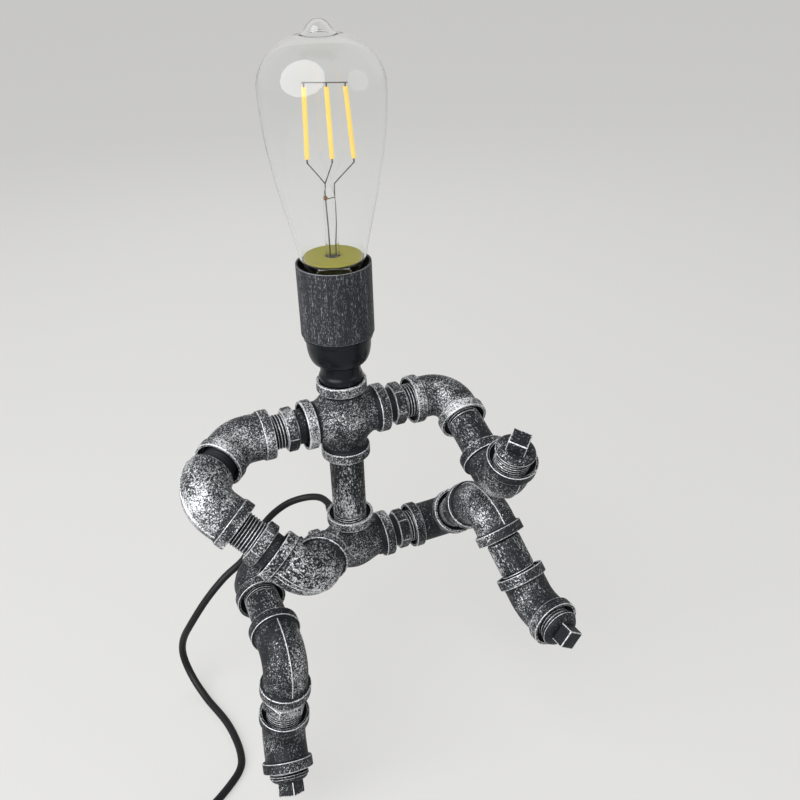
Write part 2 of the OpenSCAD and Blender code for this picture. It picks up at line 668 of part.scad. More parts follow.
module lamp_sleeve()
    color(pewter) multmatrix(neck_at) translate([0, 0, sleeve_z]) rotate_extrude()
        polygon([[sleeve_d / 2 - 3.4, 0], [sleeve_d / 2 - 0.4, 0], [sleeve_d / 2, 0.4],
            [sleeve_d / 2, sleeve_h - 0.3], [sleeve_d / 2 - 0.3, sleeve_h],
            [sleeve_d / 2 - sleeve_wall, sleeve_h], [sleeve_d / 2 - sleeve_wall, 1.5],
            [sleeve_d / 2 - 3.4, 1.5]]);

module lamp_holder() {
    base_r = cup_d / 2 - cup_wall - 0.2;
    cavity_r = shell_bore / 2 + shell_wall + seat_gap;
    color(black) multmatrix(neck_at) difference() {
        union() {
            translate([0, 0, sleeve_z + 1.5 + seat_gap]) cylinder(r = sleeve_d / 2 - sleeve_wall - 0.2, h = 2.5);
            translate([0, 0, holder_z]) cylinder(r = base_r, h = sleeve_z - holder_z);
            translate([0, 0, sleeve_z - eps]) cylinder(r = sleeve_d / 2 - 3.6, h = 3);
            translate([0, 0, sleeve_z]) cylinder(d = holder_d, h = shell_z + shell_h + 1 - sleeve_z);
        }
        translate([0, 0, shell_z]) cylinder(r = cavity_r, h = shell_h + 10);
        translate([0, 0, shell_z - 4]) cylinder(r = 6, h = 5);
        translate([0, 0, holder_z - 1]) cylinder(r = 3, h = 30);
    }
}

module screw_shell()
    color(brass) multmatrix(neck_at) translate([0, 0, shell_z + seat_gap]) difference() {
        cylinder(d = shell_bore + 2 * shell_wall, h = shell_h);
        translate([0, 0, 0.6]) cylinder(d = shell_bore, h = shell_h);
        translate([0, 0, -1]) cylinder(r = 6, h = 3);
    }

// sprung tongue under the bulb's contact
module holder_contact()
    color(brass) multmatrix(neck_at) translate([0, 0, shell_z - 4 + seat_gap]) {
        cylinder(r = 4.6, h = 0.8);
        translate([0, 0, 0.8 - eps]) cylinder(d1 = 5, d2 = 3, h = 2.6);
    }

// ---- bulb: z = 0 is the top of the sleeve ----
bulb_at = neck_at * along(rim_z);
cap_top = -13;                            // where the glass enters the cap
cap_foot = cap_top - cap_h;

function bez(a, b, c, d, t) = a * pow(1 - t, 3) + 3 * b * t * pow(1 - t, 2) + 3 * c * t * t * (1 - t) + d * pow(t, 3);
tip_step = 3;                             // step of the hollow under the drawn tip
tip_wall = 1.5;                           // glass over the hollow of the tip
// half profile of the glass, shrunk by w all round
function glass_profile(w) = let (rn = bulb_neck_d / 2 - w, re = bulb_d / 2 - w, rc = 12.2 - w,
        ze = bulb_equator, zt = bulb_equator + bulb_dome - w)
    concat([for (k = [0 : 3]) bez([rc, cap_top], [rc, cap_top + 5], [rn - 1.2, -4], [rn, 0], k / 4)],
        [for (k = [0 : 11]) bez([rn, 0], [rn + 4.2, 26], [re, ze - 36], [re, ze], k / 12)],
        [for (k = [0 : 9]) bez([re, ze], [re, ze + 14], [re * 0.55, zt], [tip_d / 2 - (w > 0 ? tip_step : 0), zt - (w > 0 ? 0 : 0.5)], k / 10)]);

module bulb_glass() {
    outer = glass_profile(0);
    inner = glass_profile(glass_wall);
    top = bulb_equator + bulb_dome - 0.5;
    color([0.8, 0.85, 0.85, 0.4]) multmatrix(bulb_at) rotate_extrude() polygon(concat(outer,
        [for (k = [0 : 8]) bez([tip_d / 2, top], [tip_d / 2 - 3, top + 1], [tip_d / 2 - 4, top + tip_h], [0, top + tip_h], k / 8)],
        [for (k = [8 : -1 : 1]) bez(inner[len(inner) - 1], [tip_d / 2 - tip_step - 2, top + 0.6],
            [tip_d / 2 - tip_step - 3, top + tip_h - tip_wall], [0, top + tip_h - tip_wall], k / 8)],
        [for (k = [len(inner) - 1 : -1 : 0]) inner[k]]));
}

// nickel screw cap with its crimped top and black insulating end
module bulb_cap() {
    r = shell_bore / 2 - thread_play;
    color(silver) multmatrix(bulb_at) rotate_extrude() polygon([[12.2 - glass_wall - 1, cap_top - 1],
        [4.4, cap_top - 2], [4.4, cap_foot], [6.5, cap_foot], [9.5, cap_foot + 3], [r - 1, cap_foot + 4],
        for (k = [0 : 3]) each [[r - 1, cap_foot + 4.2 + 3.6 * k], [r, cap_foot + 5.1 + 3.6 * k],
            [r, cap_foot + 6 + 3.6 * k], [r - 1, cap_foot + 6.9 + 3.6 * k]],
        [r - 0.4, cap_top - 0.8], [r - 0.4, cap_top - 0.2], [12.2, cap_top - seat_gap],
        [12.2 - glass_wall - 1, cap_top - seat_gap]]);
}

module bulb_contact()
    color(silver) multmatrix(bulb_at) translate([0, 0, cap_foot]) {
        translate([0, 0, -1.2]) cylinder(d1 = 6, d2 = 9, h = 1.2 - seat_gap);
        translate([0, 0, -1.2]) cylinder(r = 4.4 - seat_gap, h = 4);
    }

module bulb_disc()
    color(amber) multmatrix(bulb_at) translate([0, 0, disc_rise]) difference() {
        cylinder(d = disc_d, h = 1.4);
        translate([0, 0, -1]) cylinder(d = disc_bore, h = 4);
    }

stem_top = 42;                            // top of the glass stem
// glass stem: flared foot, tube and pinched top
module bulb_stem()
    color([0.8, 0.85, 0.85, 0.4]) multmatrix(bulb_at) rotate_extrude() polygon([[0, cap_top + 4], [disc_bore / 2 + 2.8, cap_top + 4],
        [disc_bore / 2 + 3, cap_top + 5], [disc_bore / 2 + 1.2, cap_top + 9],
        [disc_bore / 2 - 0.2, disc_rise - 1], [disc_bore / 2 - 0.2, disc_rise + 2.4],
        [stem_d / 2 + 0.8, disc_rise + 6], [stem_d / 2, disc_rise + 11], [stem_d / 2, stem_top - 8],
        [stem_d / 2 - 1.6, stem_top - 2], [stem_d / 2 - 2.6, stem_top], [0, stem_top]]);

// one straight wire between two points
module rod(a, b, d) {
    v = b - a;
    translate(a) rotate([0, acos(v[2] / norm(v)), atan2(v[1], v[0])]) cylinder(d = d, h = norm(v), $fn = 16);
}

filament_foot = 56;                       // height of the filaments' lower ends
filament_x = [-9.5, 2.5, 12.8];           // middles of the filaments across the bulb
filament_lean = [2, -1, -4];              // lean of each filament outwards at its foot
bar_z = filament_foot + filament_len + 2;
plane_turn = -23;                         // turn of the filaments' plane about the bulb's axis

function foot_of(k) = [filament_x[k] - tan(filament_lean[k]) * filament_len / 2, 0, filament_foot];
function head_of(k) = [filament_x[k] + tan(filament_lean[k]) * filament_len / 2, 0, filament_foot + filament_len];

module bulb_filaments()
    color(amber) multmatrix(bulb_at) rotate([0, 0, plane_turn])
        for (k = [0 : 2]) rod(foot_of(k), head_of(k), filament_d);

// support bar above, hooks and the two branching lead wires below
module bulb_wires() {
    fork = [-1.6, 0, stem_top + 1];
    spur = [3.2, 0, stem_top + 1];
    color(silver) multmatrix(bulb_at) rotate([0, 0, plane_turn]) union() {
        rod([head_of(0)[0], 0, bar_z], [head_of(2)[0], 0, bar_z], wire_d);
        for (k = [0 : 2]) rod(head_of(k) + [0, 0, seat_gap], [head_of(k)[0], 0, bar_z], wire_d);
        for (k = [0, 1]) rod(fork, foot_of(k) - [0, 0, seat_gap], wire_d);
        rod(spur, foot_of(2) - [0, 0, seat_gap], wire_d);
    }
}

// ---- right arm ----
module right_shoulder_nipple() multmatrix(right_shoulder_at) hex_nipple(right_shoulder_gap);
module right_elbow() color(pewter) multmatrix(right_elbow_at) elbow(90, reach, body_d, bend_r);
module right_forearm_pipe() multmatrix(right_forearm_at) pipe_nipple(right_forearm_gap);
module right_hand() color(pewter) multmatrix(right_hand_at) elbow(90, reach, body_d, bend_r);
module right_hand_plug() multmatrix(right_hand_plug_at) square_plug(hand_plug_thread);

// ---- left arm ----
module left_shoulder_nipple() multmatrix(left_shoulder_at) hex_nipple(left_shoulder_gap);
module left_shoulder_elbow() color(pewter) multmatrix(left_shoulder_elbow_at) elbow(45, reach_45, shoulder_body_d, bend_r_45);
module left_street_elbow() color(pewter) multmatrix(left_street_at) street_elbow();
module left_wrist_nipple()
    multmatrix(left_wrist_at * along(left_wrist_gap) * bend(180)) hex_nipple(left_wrist_gap);
module left_hand() color(pewter) multmatrix(left_hand_at) elbow(90, reach, body_d, bend_r);
module left_hand_plug() multmatrix(left_hand_plug_at) square_plug(foot_plug_thread);

// ---- right leg ----
module right_hip_nipple() multmatrix(right_hip_at) hex_nipple(right_hip_gap);
module right_hip_elbow() color(pewter) multmatrix(right_hip_elbow_at) elbow(90, reach, body_d, bend_r);
module right_thigh_pipe() multmatrix(right_thigh_at) pipe_nipple(right_thigh_gap);
module right_knee() color(pewter) multmatrix(right_knee_at) elbow(90, reach, body_d, bend_r);
module right_shin_pipe() multmatrix(right_shin_at) pipe_nipple(right_shin_gap);
module right_foot() color(pewter) multmatrix(right_foot_at) elbow(45, reach_45, body_d, bend_r_45);
module right_foot_plug() multmatrix(right_foot_plug_at) square_plug(foot_plug_thread);

// ---- left leg ----
module left_hip_nipple() multmatrix(left_hip_at) hex_nipple(left_hip_gap);
module left_hip_elbow() color(pewter) multmatrix(left_hip_elbow_at) elbow(90, reach, body_d, bend_r);
module left_thigh_pipe() multmatrix(left_thigh_at) pipe_nipple(left_thigh_gap);
module left_knee() color(pewter) multmatrix(left_knee_at) elbow(90, reach, body_d, bend_r);
module left_shin_nipple() multmatrix(left_shin_at) hex_nipple(left_shin_gap);
module left_foot() color(pewter) multmatrix(left_foot_at) elbow(45, reach_45, body_d, bend_r_45);
module left_foot_plug() multmatrix(left_foot_plug_at) square_plug(foot_plug_thread);

pelvis_tee();
cord_bush();
cord_gland();
cord_tube();
cord_coil();
switch_base();
switch_cover();
switch_rocker();
switch_pivot();
mains_plug();
plug_pins();
spine_pipe();
chest_cross();
neck_stud();
cup_nut();
lamp_cup();
lamp_sleeve();
lamp_holder();
screw_shell();
holder_contact();
bulb_cap();
bulb_contact();
bulb_glass();
bulb_disc();
bulb_stem();
bulb_wires();
bulb_filaments();
right_shoulder_nipple();
right_elbow();
right_forearm_pipe();
right_hand();
right_hand_plug();
left_shoulder_nipple();
left_shoulder_elbow();
left_street_elbow();
left_wrist_nipple();
left_hand();
left_hand_plug();
right_hip_nipple();
right_hip_elbow();
right_thigh_pipe();
right_knee();
right_shin_pipe();
right_foot();
right_foot_plug();
left_hip_nipple();
left_hip_elbow();
left_thigh_pipe();
left_knee();
left_shin_nipple();
left_foot();
left_foot_plug();
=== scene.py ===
import math
import bpy
import bmesh
import numpy as np
from mathutils import Matrix, Vector


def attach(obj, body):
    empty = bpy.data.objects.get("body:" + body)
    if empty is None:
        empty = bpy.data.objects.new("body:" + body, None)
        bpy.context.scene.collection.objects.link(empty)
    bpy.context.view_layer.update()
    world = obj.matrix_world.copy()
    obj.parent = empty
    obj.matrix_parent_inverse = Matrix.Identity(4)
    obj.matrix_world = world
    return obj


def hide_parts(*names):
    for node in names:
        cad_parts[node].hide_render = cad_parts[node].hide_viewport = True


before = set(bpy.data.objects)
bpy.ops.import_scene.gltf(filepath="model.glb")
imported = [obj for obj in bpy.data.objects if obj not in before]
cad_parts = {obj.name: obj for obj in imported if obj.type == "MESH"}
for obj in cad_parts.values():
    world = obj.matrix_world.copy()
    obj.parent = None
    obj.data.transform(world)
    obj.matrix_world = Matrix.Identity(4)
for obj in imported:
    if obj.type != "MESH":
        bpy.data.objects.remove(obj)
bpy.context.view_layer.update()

# A desk lamp of half-inch pipe fittings in the shape of a sitting robot. Lengths are in mm and angles in
# degrees, as in the part's source, until make() turns them into metres.

# ---------------------------------------------------------------- camera
PHOTO_WIDTH = 800
FOCAL_PIXELS = 860.1
SENSOR_WIDTH = 36
CAMERA_AT = (-0.14246, -0.42399, 0.38189)
YAW, PITCH, ROLL = 22.976, 30.139, -1.585


def add_camera():
    yaw, pitch, roll = (math.radians(angle) for angle in (YAW, PITCH, ROLL))
    ahead = Vector((math.sin(yaw) * math.cos(pitch), math.cos(yaw) * math.cos(pitch), -math.sin(pitch)))
    level = Vector((math.cos(yaw), -math.sin(yaw), 0))
    above = level.cross(ahead)
    right = level * math.cos(roll) + above * math.sin(roll)
    up = above * math.cos(roll) - level * math.sin(roll)
    data = bpy.data.cameras.new("camera")
    data.sensor_width = SENSOR_WIDTH
    data.sensor_fit = "HORIZONTAL"
    data.lens = FOCAL_PIXELS / PHOTO_WIDTH * SENSOR_WIDTH
    data.clip_start = 0.01
    camera = bpy.data.objects.new("camera", data)
    place = Matrix((right, up, -ahead)).transposed().to_4x4()
    place.translation = Vector(CAMERA_AT)
    camera.matrix_world = place
    bpy.context.collection.objects.link(camera)
    bpy.context.scene.camera = camera


add_camera()


# ---------------------------------------------------------------- places
def turn(angle):
    """Turn about Z."""
    c, s = math.cos(math.radians(angle)), math.sin(math.radians(angle))
    return np.array([[c, -s, 0, 0], [s, c, 0, 0], [0, 0, 1, 0], [0, 0, 0, 1.0]])


def bend(angle):
    """Turn about Y."""
    c, s = math.cos(math.radians(angle)), math.sin(math.radians(angle))
    return np.array([[c, 0, s, 0], [0, 1, 0, 0], [-s, 0, c, 0], [0, 0, 0, 1.0]])


def tip(angle):
    """Turn about X."""
    c, s = math.cos(math.radians(angle)), math.sin(math.radians(angle))
    return np.array([[1, 0, 0, 0], [0, c, -s, 0], [0, s, c, 0], [0, 0, 0, 1.0]])


def move(x, y, z):
    place = np.eye(4)
    place[:3, 3] = x, y, z
    return place


def along(distance):
    """Move along Z."""
    return move(0, 0, distance)


# ---------------------------------------------------------------- sizes of the fittings
REACH = 26.0  # from a fitting's middle to its faces
BEND_R, BODY_R = 14.0, 13.0
WIDE_BODY_R = 14.0
HALF_BEND = {"angle": 45, "reach": 20.5, "bend_r": 17.0}
STREET_REACH, STREET_MALE, STREET_BEND_R = 30.0, 25.0, 17.0
BAND_R, BAND_W = 15.0, 6.0
MOUTH_R = 13.3
PORT_R, PORT_DEPTH = 10.7, 13.0
BORE_R = 8.6
THREAD_R, THREAD_PITCH, THREAD_DEPTH = 10.45, 1.81, 0.85
THREAD_IN = 7.0  # how far a pipe's or a plug's thread is drawn into its port
PIPE_R = 10.7
SPINE = 46.0


# ---------------------------------------------------------------- nodes for materials
def new_material(name):
    material = bpy.data.materials.new(name)
    material.use_nodes = True
    return material, material.node_tree, material.node_tree.nodes["Principled BSDF"]


def add(tree, kind, **values):
    node = tree.nodes.new(kind)
    for key, value in values.items():
        if key in node.inputs:
            node.inputs[key].default_value = value
        else:
            setattr(node, key, value)
    return node


def noise(tree, where, size, detail, rough, stretch=(1, 1, 1), distortion=0.0):
    """Noise whose lumps are about `size` mm wide, over places in mm."""
    mapping = add(tree, "ShaderNodeMapping", Scale=stretch)
    tree.links.new(where, mapping.inputs["Vector"])
    texture = add(tree, "ShaderNodeTexNoise", Scale=0.5 / size, Detail=detail, Roughness=rough,
                  Distortion=distortion)
    tree.links.new(mapping.outputs["Vector"], texture.inputs["Vector"])
    return texture.outputs["Fac"]


def ramp(tree, value, low, high, out_low=0.0, out_high=1.0):
    """Smooth step from out_low to out_high while the value goes from low to high."""
    node = add(tree, "ShaderNodeMapRange", interpolation_type="SMOOTHSTEP")
    for key, bound in (("From Min", low), ("From Max", high), ("To Min", out_low), ("To Max", out_high)):
        node.inputs[key].default_value = bound
    tree.links.new(value, node.inputs["Value"])
    return node.outputs["Result"]


def op(tree, kind, a, b, clamp=False):
    node = add(tree, "ShaderNodeMath", operation=kind, use_clamp=clamp)
    for slot, value in enumerate((a, b)):
        if isinstance(value, (int, float)):
            node.inputs[slot].default_value = value
        else:
            tree.links.new(value, node.inputs[slot])
    return node.outputs[0]


def mix_colour(tree, share, first, second):
    node = add(tree, "ShaderNodeMix", data_type="RGBA")
    tree.links.new(share, node.inputs["Factor"])
    for key, colour in (("A", first), ("B", second)):
        socket = [s for s in node.inputs if s.name == key and s.type == "RGBA"][0]
        socket.default_value = (*colour, 1)
    return [s for s in node.outputs if s.type == "RGBA"][0]


def bump(tree, shader, height, depth):
    node = add(tree, "ShaderNodeBump", Strength=1.0, Distance=depth * 0.001)
    tree.links.new(height, node.inputs["Height"])
    tree.links.new(node.outputs["Normal"], shader.inputs["Normal"])


def own_place(tree):
    """Places in mm that make() stores on a piece."""
    return add(tree, "ShaderNodeAttribute", attribute_name="loc").outputs["Vector"]


def object_place(tree):
    """An object's own coordinates in mm, which nodes that keep their CAD shape have too."""
    mapping = add(tree, "ShaderNodeMapping", Scale=(1000, 1000, 1000))
    tree.links.new(add(tree, "ShaderNodeTexCoord").outputs["Object"], mapping.inputs["Vector"])
    return mapping.outputs["Vector"]


# ---------------------------------------------------------------- materials
SPECK_SHARE = 0.85  # of the specks' noise in where the silver lies


def pewter(name, cover, stretch=(1, 1, 1), grain=0.47, cloud=11.0, drift=(1, 1, 1), patchy=0.36, depth=0.04,
           dark=(0.007, 0.008, 0.010), light=(0.66, 0.67, 0.69), gloss=0.40, rim=0.85, wrinkled=False):
    """Black casting with silver brushed over it: grainy all over, bare on edges, and black in recesses, where
    the black also carries painted shade.

    cover says how much is silver, grain and cloud how wide its specks and patches are, stretch and drift how
    they are drawn out, patchy and rim how strong patches and bare edges are."""
    material, tree, shader = new_material(name)
    where = own_place(tree)
    wear_and_shade = add(tree, "ShaderNodeAttribute", attribute_name="wear_and_shade").outputs["Fac"]
    specks = noise(tree, where, grain, 5, 0.8, stretch, 0.2)
    patches = noise(tree, where, cloud, 4, 0.6, drift)
    lift = op(tree, "ADD", op(tree, "MULTIPLY", specks, SPECK_SHARE), op(tree, "MULTIPLY", patches, patchy))
    lift = op(tree, "ADD", lift, op(tree, "MULTIPLY", wear_and_shade, 0.10))
    if wrinkled:
        waves = noise(tree, where, 2.0, 2, 0.5, (1, 1, 1), 1.6)
        folds = ramp(tree, op(tree, "ABSOLUTE", op(tree, "SUBTRACT", waves, 0.5), 0), 0.0, 0.09)
        lift = op(tree, "ADD", lift, op(tree, "MULTIPLY", op(tree, "SUBTRACT", folds, 0.6), 0.16))
    # Less silver where the attribute is below 0: partly the black that brushing leaves in hollows, partly
    # painted shade in recesses, creases and thread grooves.
    recess_black_and_shade = ramp(tree, wear_and_shade, -0.9, -0.05, 1, 0)
    lift = op(tree, "SUBTRACT", lift, op(tree, "MULTIPLY", recess_black_and_shade, 0.24))
    turns_silver = 0.5 * (SPECK_SHARE + patchy) + 0.06 - 0.2 * (cover - 0.5)
    brushed = ramp(tree, lift, turns_silver - 0.05, turns_silver + 0.085)
    broken = op(tree, "MULTIPLY", ramp(tree, specks, 0.34, 0.52), rim)
    edges = op(tree, "MULTIPLY", ramp(tree, wear_and_shade, 0.5, 0.85), broken)
    silver = op(tree, "MAXIMUM", op(tree, "MULTIPLY", brushed, 0.95), edges, clamp=True)
    tree.links.new(mix_colour(tree, silver, dark, light), shader.inputs["Base Color"])
    tree.links.new(ramp(tree, silver, 0, 1, gloss + 0.12, gloss), shader.inputs["Roughness"])
    tree.links.new(ramp(tree, silver, 0, 0.6, 0.0, 0.45), shader.inputs["Metallic"])
    shader.inputs["Specular IOR Level"].default_value = 0.16
    height = op(tree, "ADD", specks, op(tree, "MULTIPLY", brushed, 0.35))
    if wrinkled:
        height = op(tree, "ADD", height, op(tree, "MULTIPLY", folds, 2.2))
    bump(tree, shader, height, depth)
    return material


def plain(name, colour, rough, metallic=0.0, grain=0.5, depth=0.02, vary=0.15, shine=0.5):
    """One colour that varies a little over wide patches, with a fine grain in roughness and height."""
    material, tree, shader = new_material(name)
    where = object_place(tree)
    fine = noise(tree, where, grain, 4, 0.6)
    wide = noise(tree, where, grain * 12, 2, 0.5)
    darker = tuple(c * (1 - vary) for c in colour)
    lighter = tuple(min(1, c * (1 + vary)) for c in colour)
    tree.links.new(mix_colour(tree, wide, darker, lighter), shader.inputs["Base Color"])
    tree.links.new(ramp(tree, fine, 0.3, 0.7, rough - 0.06, rough + 0.06), shader.inputs["Roughness"])
    shader.inputs["Metallic"].default_value = metallic
    shader.inputs["Specular IOR Level"].default_value = shine
    bump(tree, shader, fine, depth)
    return material


# Plain colour that also glows a little: a painted glow, on parts that are no lamp.
def phosphor_with_painted_glow(name, colour, glow, shine=0.5):
    material = plain(name, colour, 0.5, grain=0.4, depth=0.04, vary=0.08, shine=shine)
    shader = material.node_tree.nodes["Principled BSDF"]
    shader.inputs["Emission Color"].default_value = (*colour, 1)
    shader.inputs["Emission Strength"].default_value = glow
    return material


def clear(name, tint, rough=0.0, ior=1.45):
    """Blown glass, with soft waves along it."""
    material, tree, shader = new_material(name)
    shader.inputs["Base Color"].default_value = (*tint, 1)
    shader.inputs["Transmission Weight"].default_value = 1
    shader.inputs["IOR"].default_value = ior
    waves = noise(tree, own_place(tree), 9, 2, 0.4, (1, 1, 0.3))
    tree.links.new(ramp(tree, waves, 0.3, 0.7, rough, rough + 0.012), shader.inputs["Roughness"])
    bump(tree, shader, waves, 0.05)
    return material


CAST = pewter("cast_pewter", 0.38)
CAST_BRIGHT = pewter("cast_pewter_bright", 0.60)
CAST_WORN = pewter("cast_pewter_wrinkled", 0.46, depth=0.09, wrinkled=True)
PIPE = pewter("pipe_pewter", 0.35, (1.0, 1.0, 0.5), 0.45, drift=(1.6, 1.6, 0.5), depth=0.03)
NIPPLE = pewter("nipple_pewter", 0.30)
PLUG = pewter("plug_pewter", 0.27, grain=0.55, depth=0.08)
SLEEVE = pewter("sleeve_brushed", 0.22, (1.7, 1.7, 0.36), 0.40, 1.6, (1.8, 1.8, 0.07), 0.22, 0.02,
                dark=(0.013, 0.014, 0.017), light=(0.32, 0.33, 0.35))
ENAMEL = pewter("black_enamel", -0.25, (1.2, 1.2, 0.2), 0.9, 14.0, patchy=0.6, depth=0.02,
                dark=(0.005, 0.006, 0.008), gloss=0.14, rim=0.5)
GLASS = clear("bulb_glass", (0.985, 0.99, 0.985))
STEM = clear("stem_glass", (0.985, 0.99, 0.99), 0.01, 1.18)
RUBBER = plain("cord_sheath", (0.007, 0.007, 0.008), 0.46, grain=0.25, shine=0.16)
BLACK = plain("switch_plastic", (0.010, 0.010, 0.011), 0.36, grain=0.35, depth=0.03, shine=0.3)
ROCKER = plain("rocker_plastic", (0.02, 0.02, 0.021), 0.24, depth=0.01)
BAKELITE = plain("holder_plastic", (0.02, 0.018, 0.017), 0.55, depth=0.04)
BRASS = plain("brass", (0.78, 0.56, 0.22), 0.28, 1.0, grain=0.6)
NICKEL = plain("nickel", (0.72, 0.70, 0.66), 0.22, 1.0, grain=0.6)
STEEL = plain("zinc", (0.55, 0.56, 0.57), 0.34, 1.0)
SOLDER = plain("solder", (0.5, 0.5, 0.5), 0.4, 1.0, grain=0.7, depth=0.08)
WIRE = plain("wire", (0.20, 0.19, 0.18), 0.35, 0.9, grain=0.4)
# The filaments and the amber disc glow: painted glow, as no lamp is lit in the bulb.
FILAMENT = phosphor_with_painted_glow("filament", (0.95, 0.68, 0.15), 0.50)
DISC = phosphor_with_painted_glow("amber_disc", (0.50, 0.46, 0.03), 0.12, shine=0.12)
BEAD = plain("bead_glass", (0.42, 0.16, 0.04), 0.25, grain=0.3)


# ---------------------------------------------------------------- mesh building
# Wear and shade go from -1 in black recesses, where painted shade lies over the unbrushed black, to 1 on bare
# edges. Where a row counts along a bend, z is that distance.
def soften(points, steps=4):
    """Rounds a profile of (z, r, rounding, wear) points and gives (z, r, wear) rows."""
    rows = []
    for i, (z, r, rounding, wear_and_shade) in enumerate(points):
        if rounding <= 0 or i in (0, len(points) - 1):
            rows.append((z, r, wear_and_shade))
            continue
        here = np.array([z, r], float)
        back = np.array(points[i - 1][:2], float) - here
        ahead = np.array(points[i + 1][:2], float) - here
        back_length, ahead_length = np.linalg.norm(back), np.linalg.norm(ahead)
        cut = min(rounding, back_length * 0.49, ahead_length * 0.49)
        start, end = here + back / back_length * cut, here + ahead / ahead_length * cut
        for f in np.linspace(0, 1, steps + 1):
            spot = (1 - f) ** 2 * start + 2 * f * (1 - f) * here + f * f * end
            rows.append((spot[0], spot[1], wear_and_shade * (1 - 0.55 * abs(2 * f - 1))))
    return rows


def fill(rows, longest):
    """Adds rows so that none is more than `longest` mm from the next."""
    out = [rows[0]]
    for row, following in zip(rows, rows[1:]):
        distance = math.hypot(following[0] - row[0], following[1] - row[1])
        count = max(1, math.ceil(distance / longest))
        for j in range(1, count + 1):
            out.append(tuple(a + (b - a) * (j / count) for a, b in zip(row, following)))
    return out


def circle(count):
    return np.linspace(0, 2 * math.pi, count, endpoint=False)


def ring(r, around, z):
    """Points round Z at height z; r may differ from point to point."""
    return np.stack([r * np.cos(around), r * np.sin(around), np.full(around.shape, z)], 1)


def skin(rings, wear_and_shade, loop=False):
    """Quads over rings that each close on themselves; gives places, faces and wear."""
    rings = np.array(rings)
    rows, count, _ = rings.shape
    if np.ndim(wear_and_shade) == 1:
        wear_and_shade = np.repeat(np.asarray(wear_and_shade)[:, None], count, 1)
    faces = []
    for i in range(rows if loop else rows - 1):
        a, b = i * count, (i + 1) % rows * count
        for j in range(count):
            k = (j + 1) % count
            faces.append((a + j, a + k, b + k, b + j))
    return rings.reshape(-1, 3), faces, np.asarray(wear_and_shade).reshape(-1)


def cap(part, count, first=True):
    """Closes a skin's first or last ring of count points."""
    places, faces, wear_and_shade = part
    if first:
        lid = tuple(reversed(range(count)))
    else:
        lid = tuple(range(len(places) - count, len(places)))
    return places, faces + [lid], wear_and_shade


def lathe(rows, count=72, loop=False):
    """Turns (z, r, wear) rows about Z."""
    around = circle(count)
    return skin([ring(r, around, z) for z, r, _ in rows], [wear_and_shade for _, _, wear_and_shade in rows], loop)


def make(name, parts, at, body, material, stands_in=True):
    """Makes one object of skins at a place; where it stands in, it replaces the node of its name."""
    places, faces, wear_and_shade = [], [], []
    count = 0
    for part_places, part_faces, part_wear_and_shade in parts:
        places.append(part_places)
        wear_and_shade.append(part_wear_and_shade)
        faces += [tuple(i + count for i in face) for face in part_faces]
        count += len(part_places)
    places = np.vstack(places)
    world = (places @ at[:3, :3].T + at[:3, 3]) * 0.001
    # each piece has its own stretch of the noise, from its name
    pattern = places + sum(map(ord, name)) * 7.3 % 91
    mesh = bpy.data.meshes.new(name)
    mesh.from_pydata(world.tolist(), [], faces)
    values = np.concatenate(wear_and_shade).astype(np.float32)
    mesh.attributes.new("wear_and_shade", "FLOAT", "POINT").data.foreach_set("value", values)
    values = pattern.astype(np.float32).ravel()
    mesh.attributes.new("loc", "FLOAT_VECTOR", "POINT").data.foreach_set("vector", values)
    joined = bmesh.new()
    joined.from_mesh(mesh)
    bmesh.ops.remove_doubles(joined, verts=joined.verts, dist=2e-6)
    bmesh.ops.recalc_face_normals(joined, faces=joined.faces)
    joined.to_mesh(mesh)
    joined.free()
    mesh.polygons.foreach_set("use_smooth", [True] * len(mesh.polygons))
    mesh.materials.append(material)
    obj = bpy.data.objects.new(name, mesh)
    bpy.context.collection.objects.link(obj)
    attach(obj, body)
    if stands_in:
        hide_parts(name)


# ---------------------------------------------------------------- parts of the fittings
def port(body_r):
    """Profile from inside a port over its band to the body, its z counted from the port's face."""
    # The -1 and -0.9 inside the mouth and in the crease behind the band are painted shade over the unbrushed
    # black; the values near 1 on the rims are wear.
    return [(PORT_DEPTH, PORT_R, 0, -1), (4.2, PORT_R, 0, -1), (2.4, MOUTH_R - 0.2, 0.6, -1),
            (0.7, MOUTH_R, 0, -0.9), (0, MOUTH_R + 0.05, 0.25, 1.0), (0, 14.1, 0, 0.3), (0, BAND_R, 0.5, 1.1),
            (0.9, BAND_R, 0, 0.15), (BAND_W - 0.9, BAND_R, 0, 0.15), (BAND_W, BAND_R, 0.5, 1.0),
            (BAND_W + 0.35, body_r + 0.5, 0.5, -0.9), (BAND_W + 1.3, body_r, 0.8, -0.7),
            (BAND_W + 3.4, body_r, 0, 0)]


def seam_angles():
    """Angles round a bent body, with more of them where its seams stand out."""
    every = list(circle(64))
    for off in np.arange(-2.4, 2.41, 0.24) / BODY_R:
        every += [off % (2 * math.pi), (math.pi + off) % (2 * math.pi)]
    kept = []
    for angle in sorted(every):
        if not kept or angle - kept[-1] > 0.004:
            kept.append(angle)
    return np.array(kept)


BENT_AROUND = seam_angles()


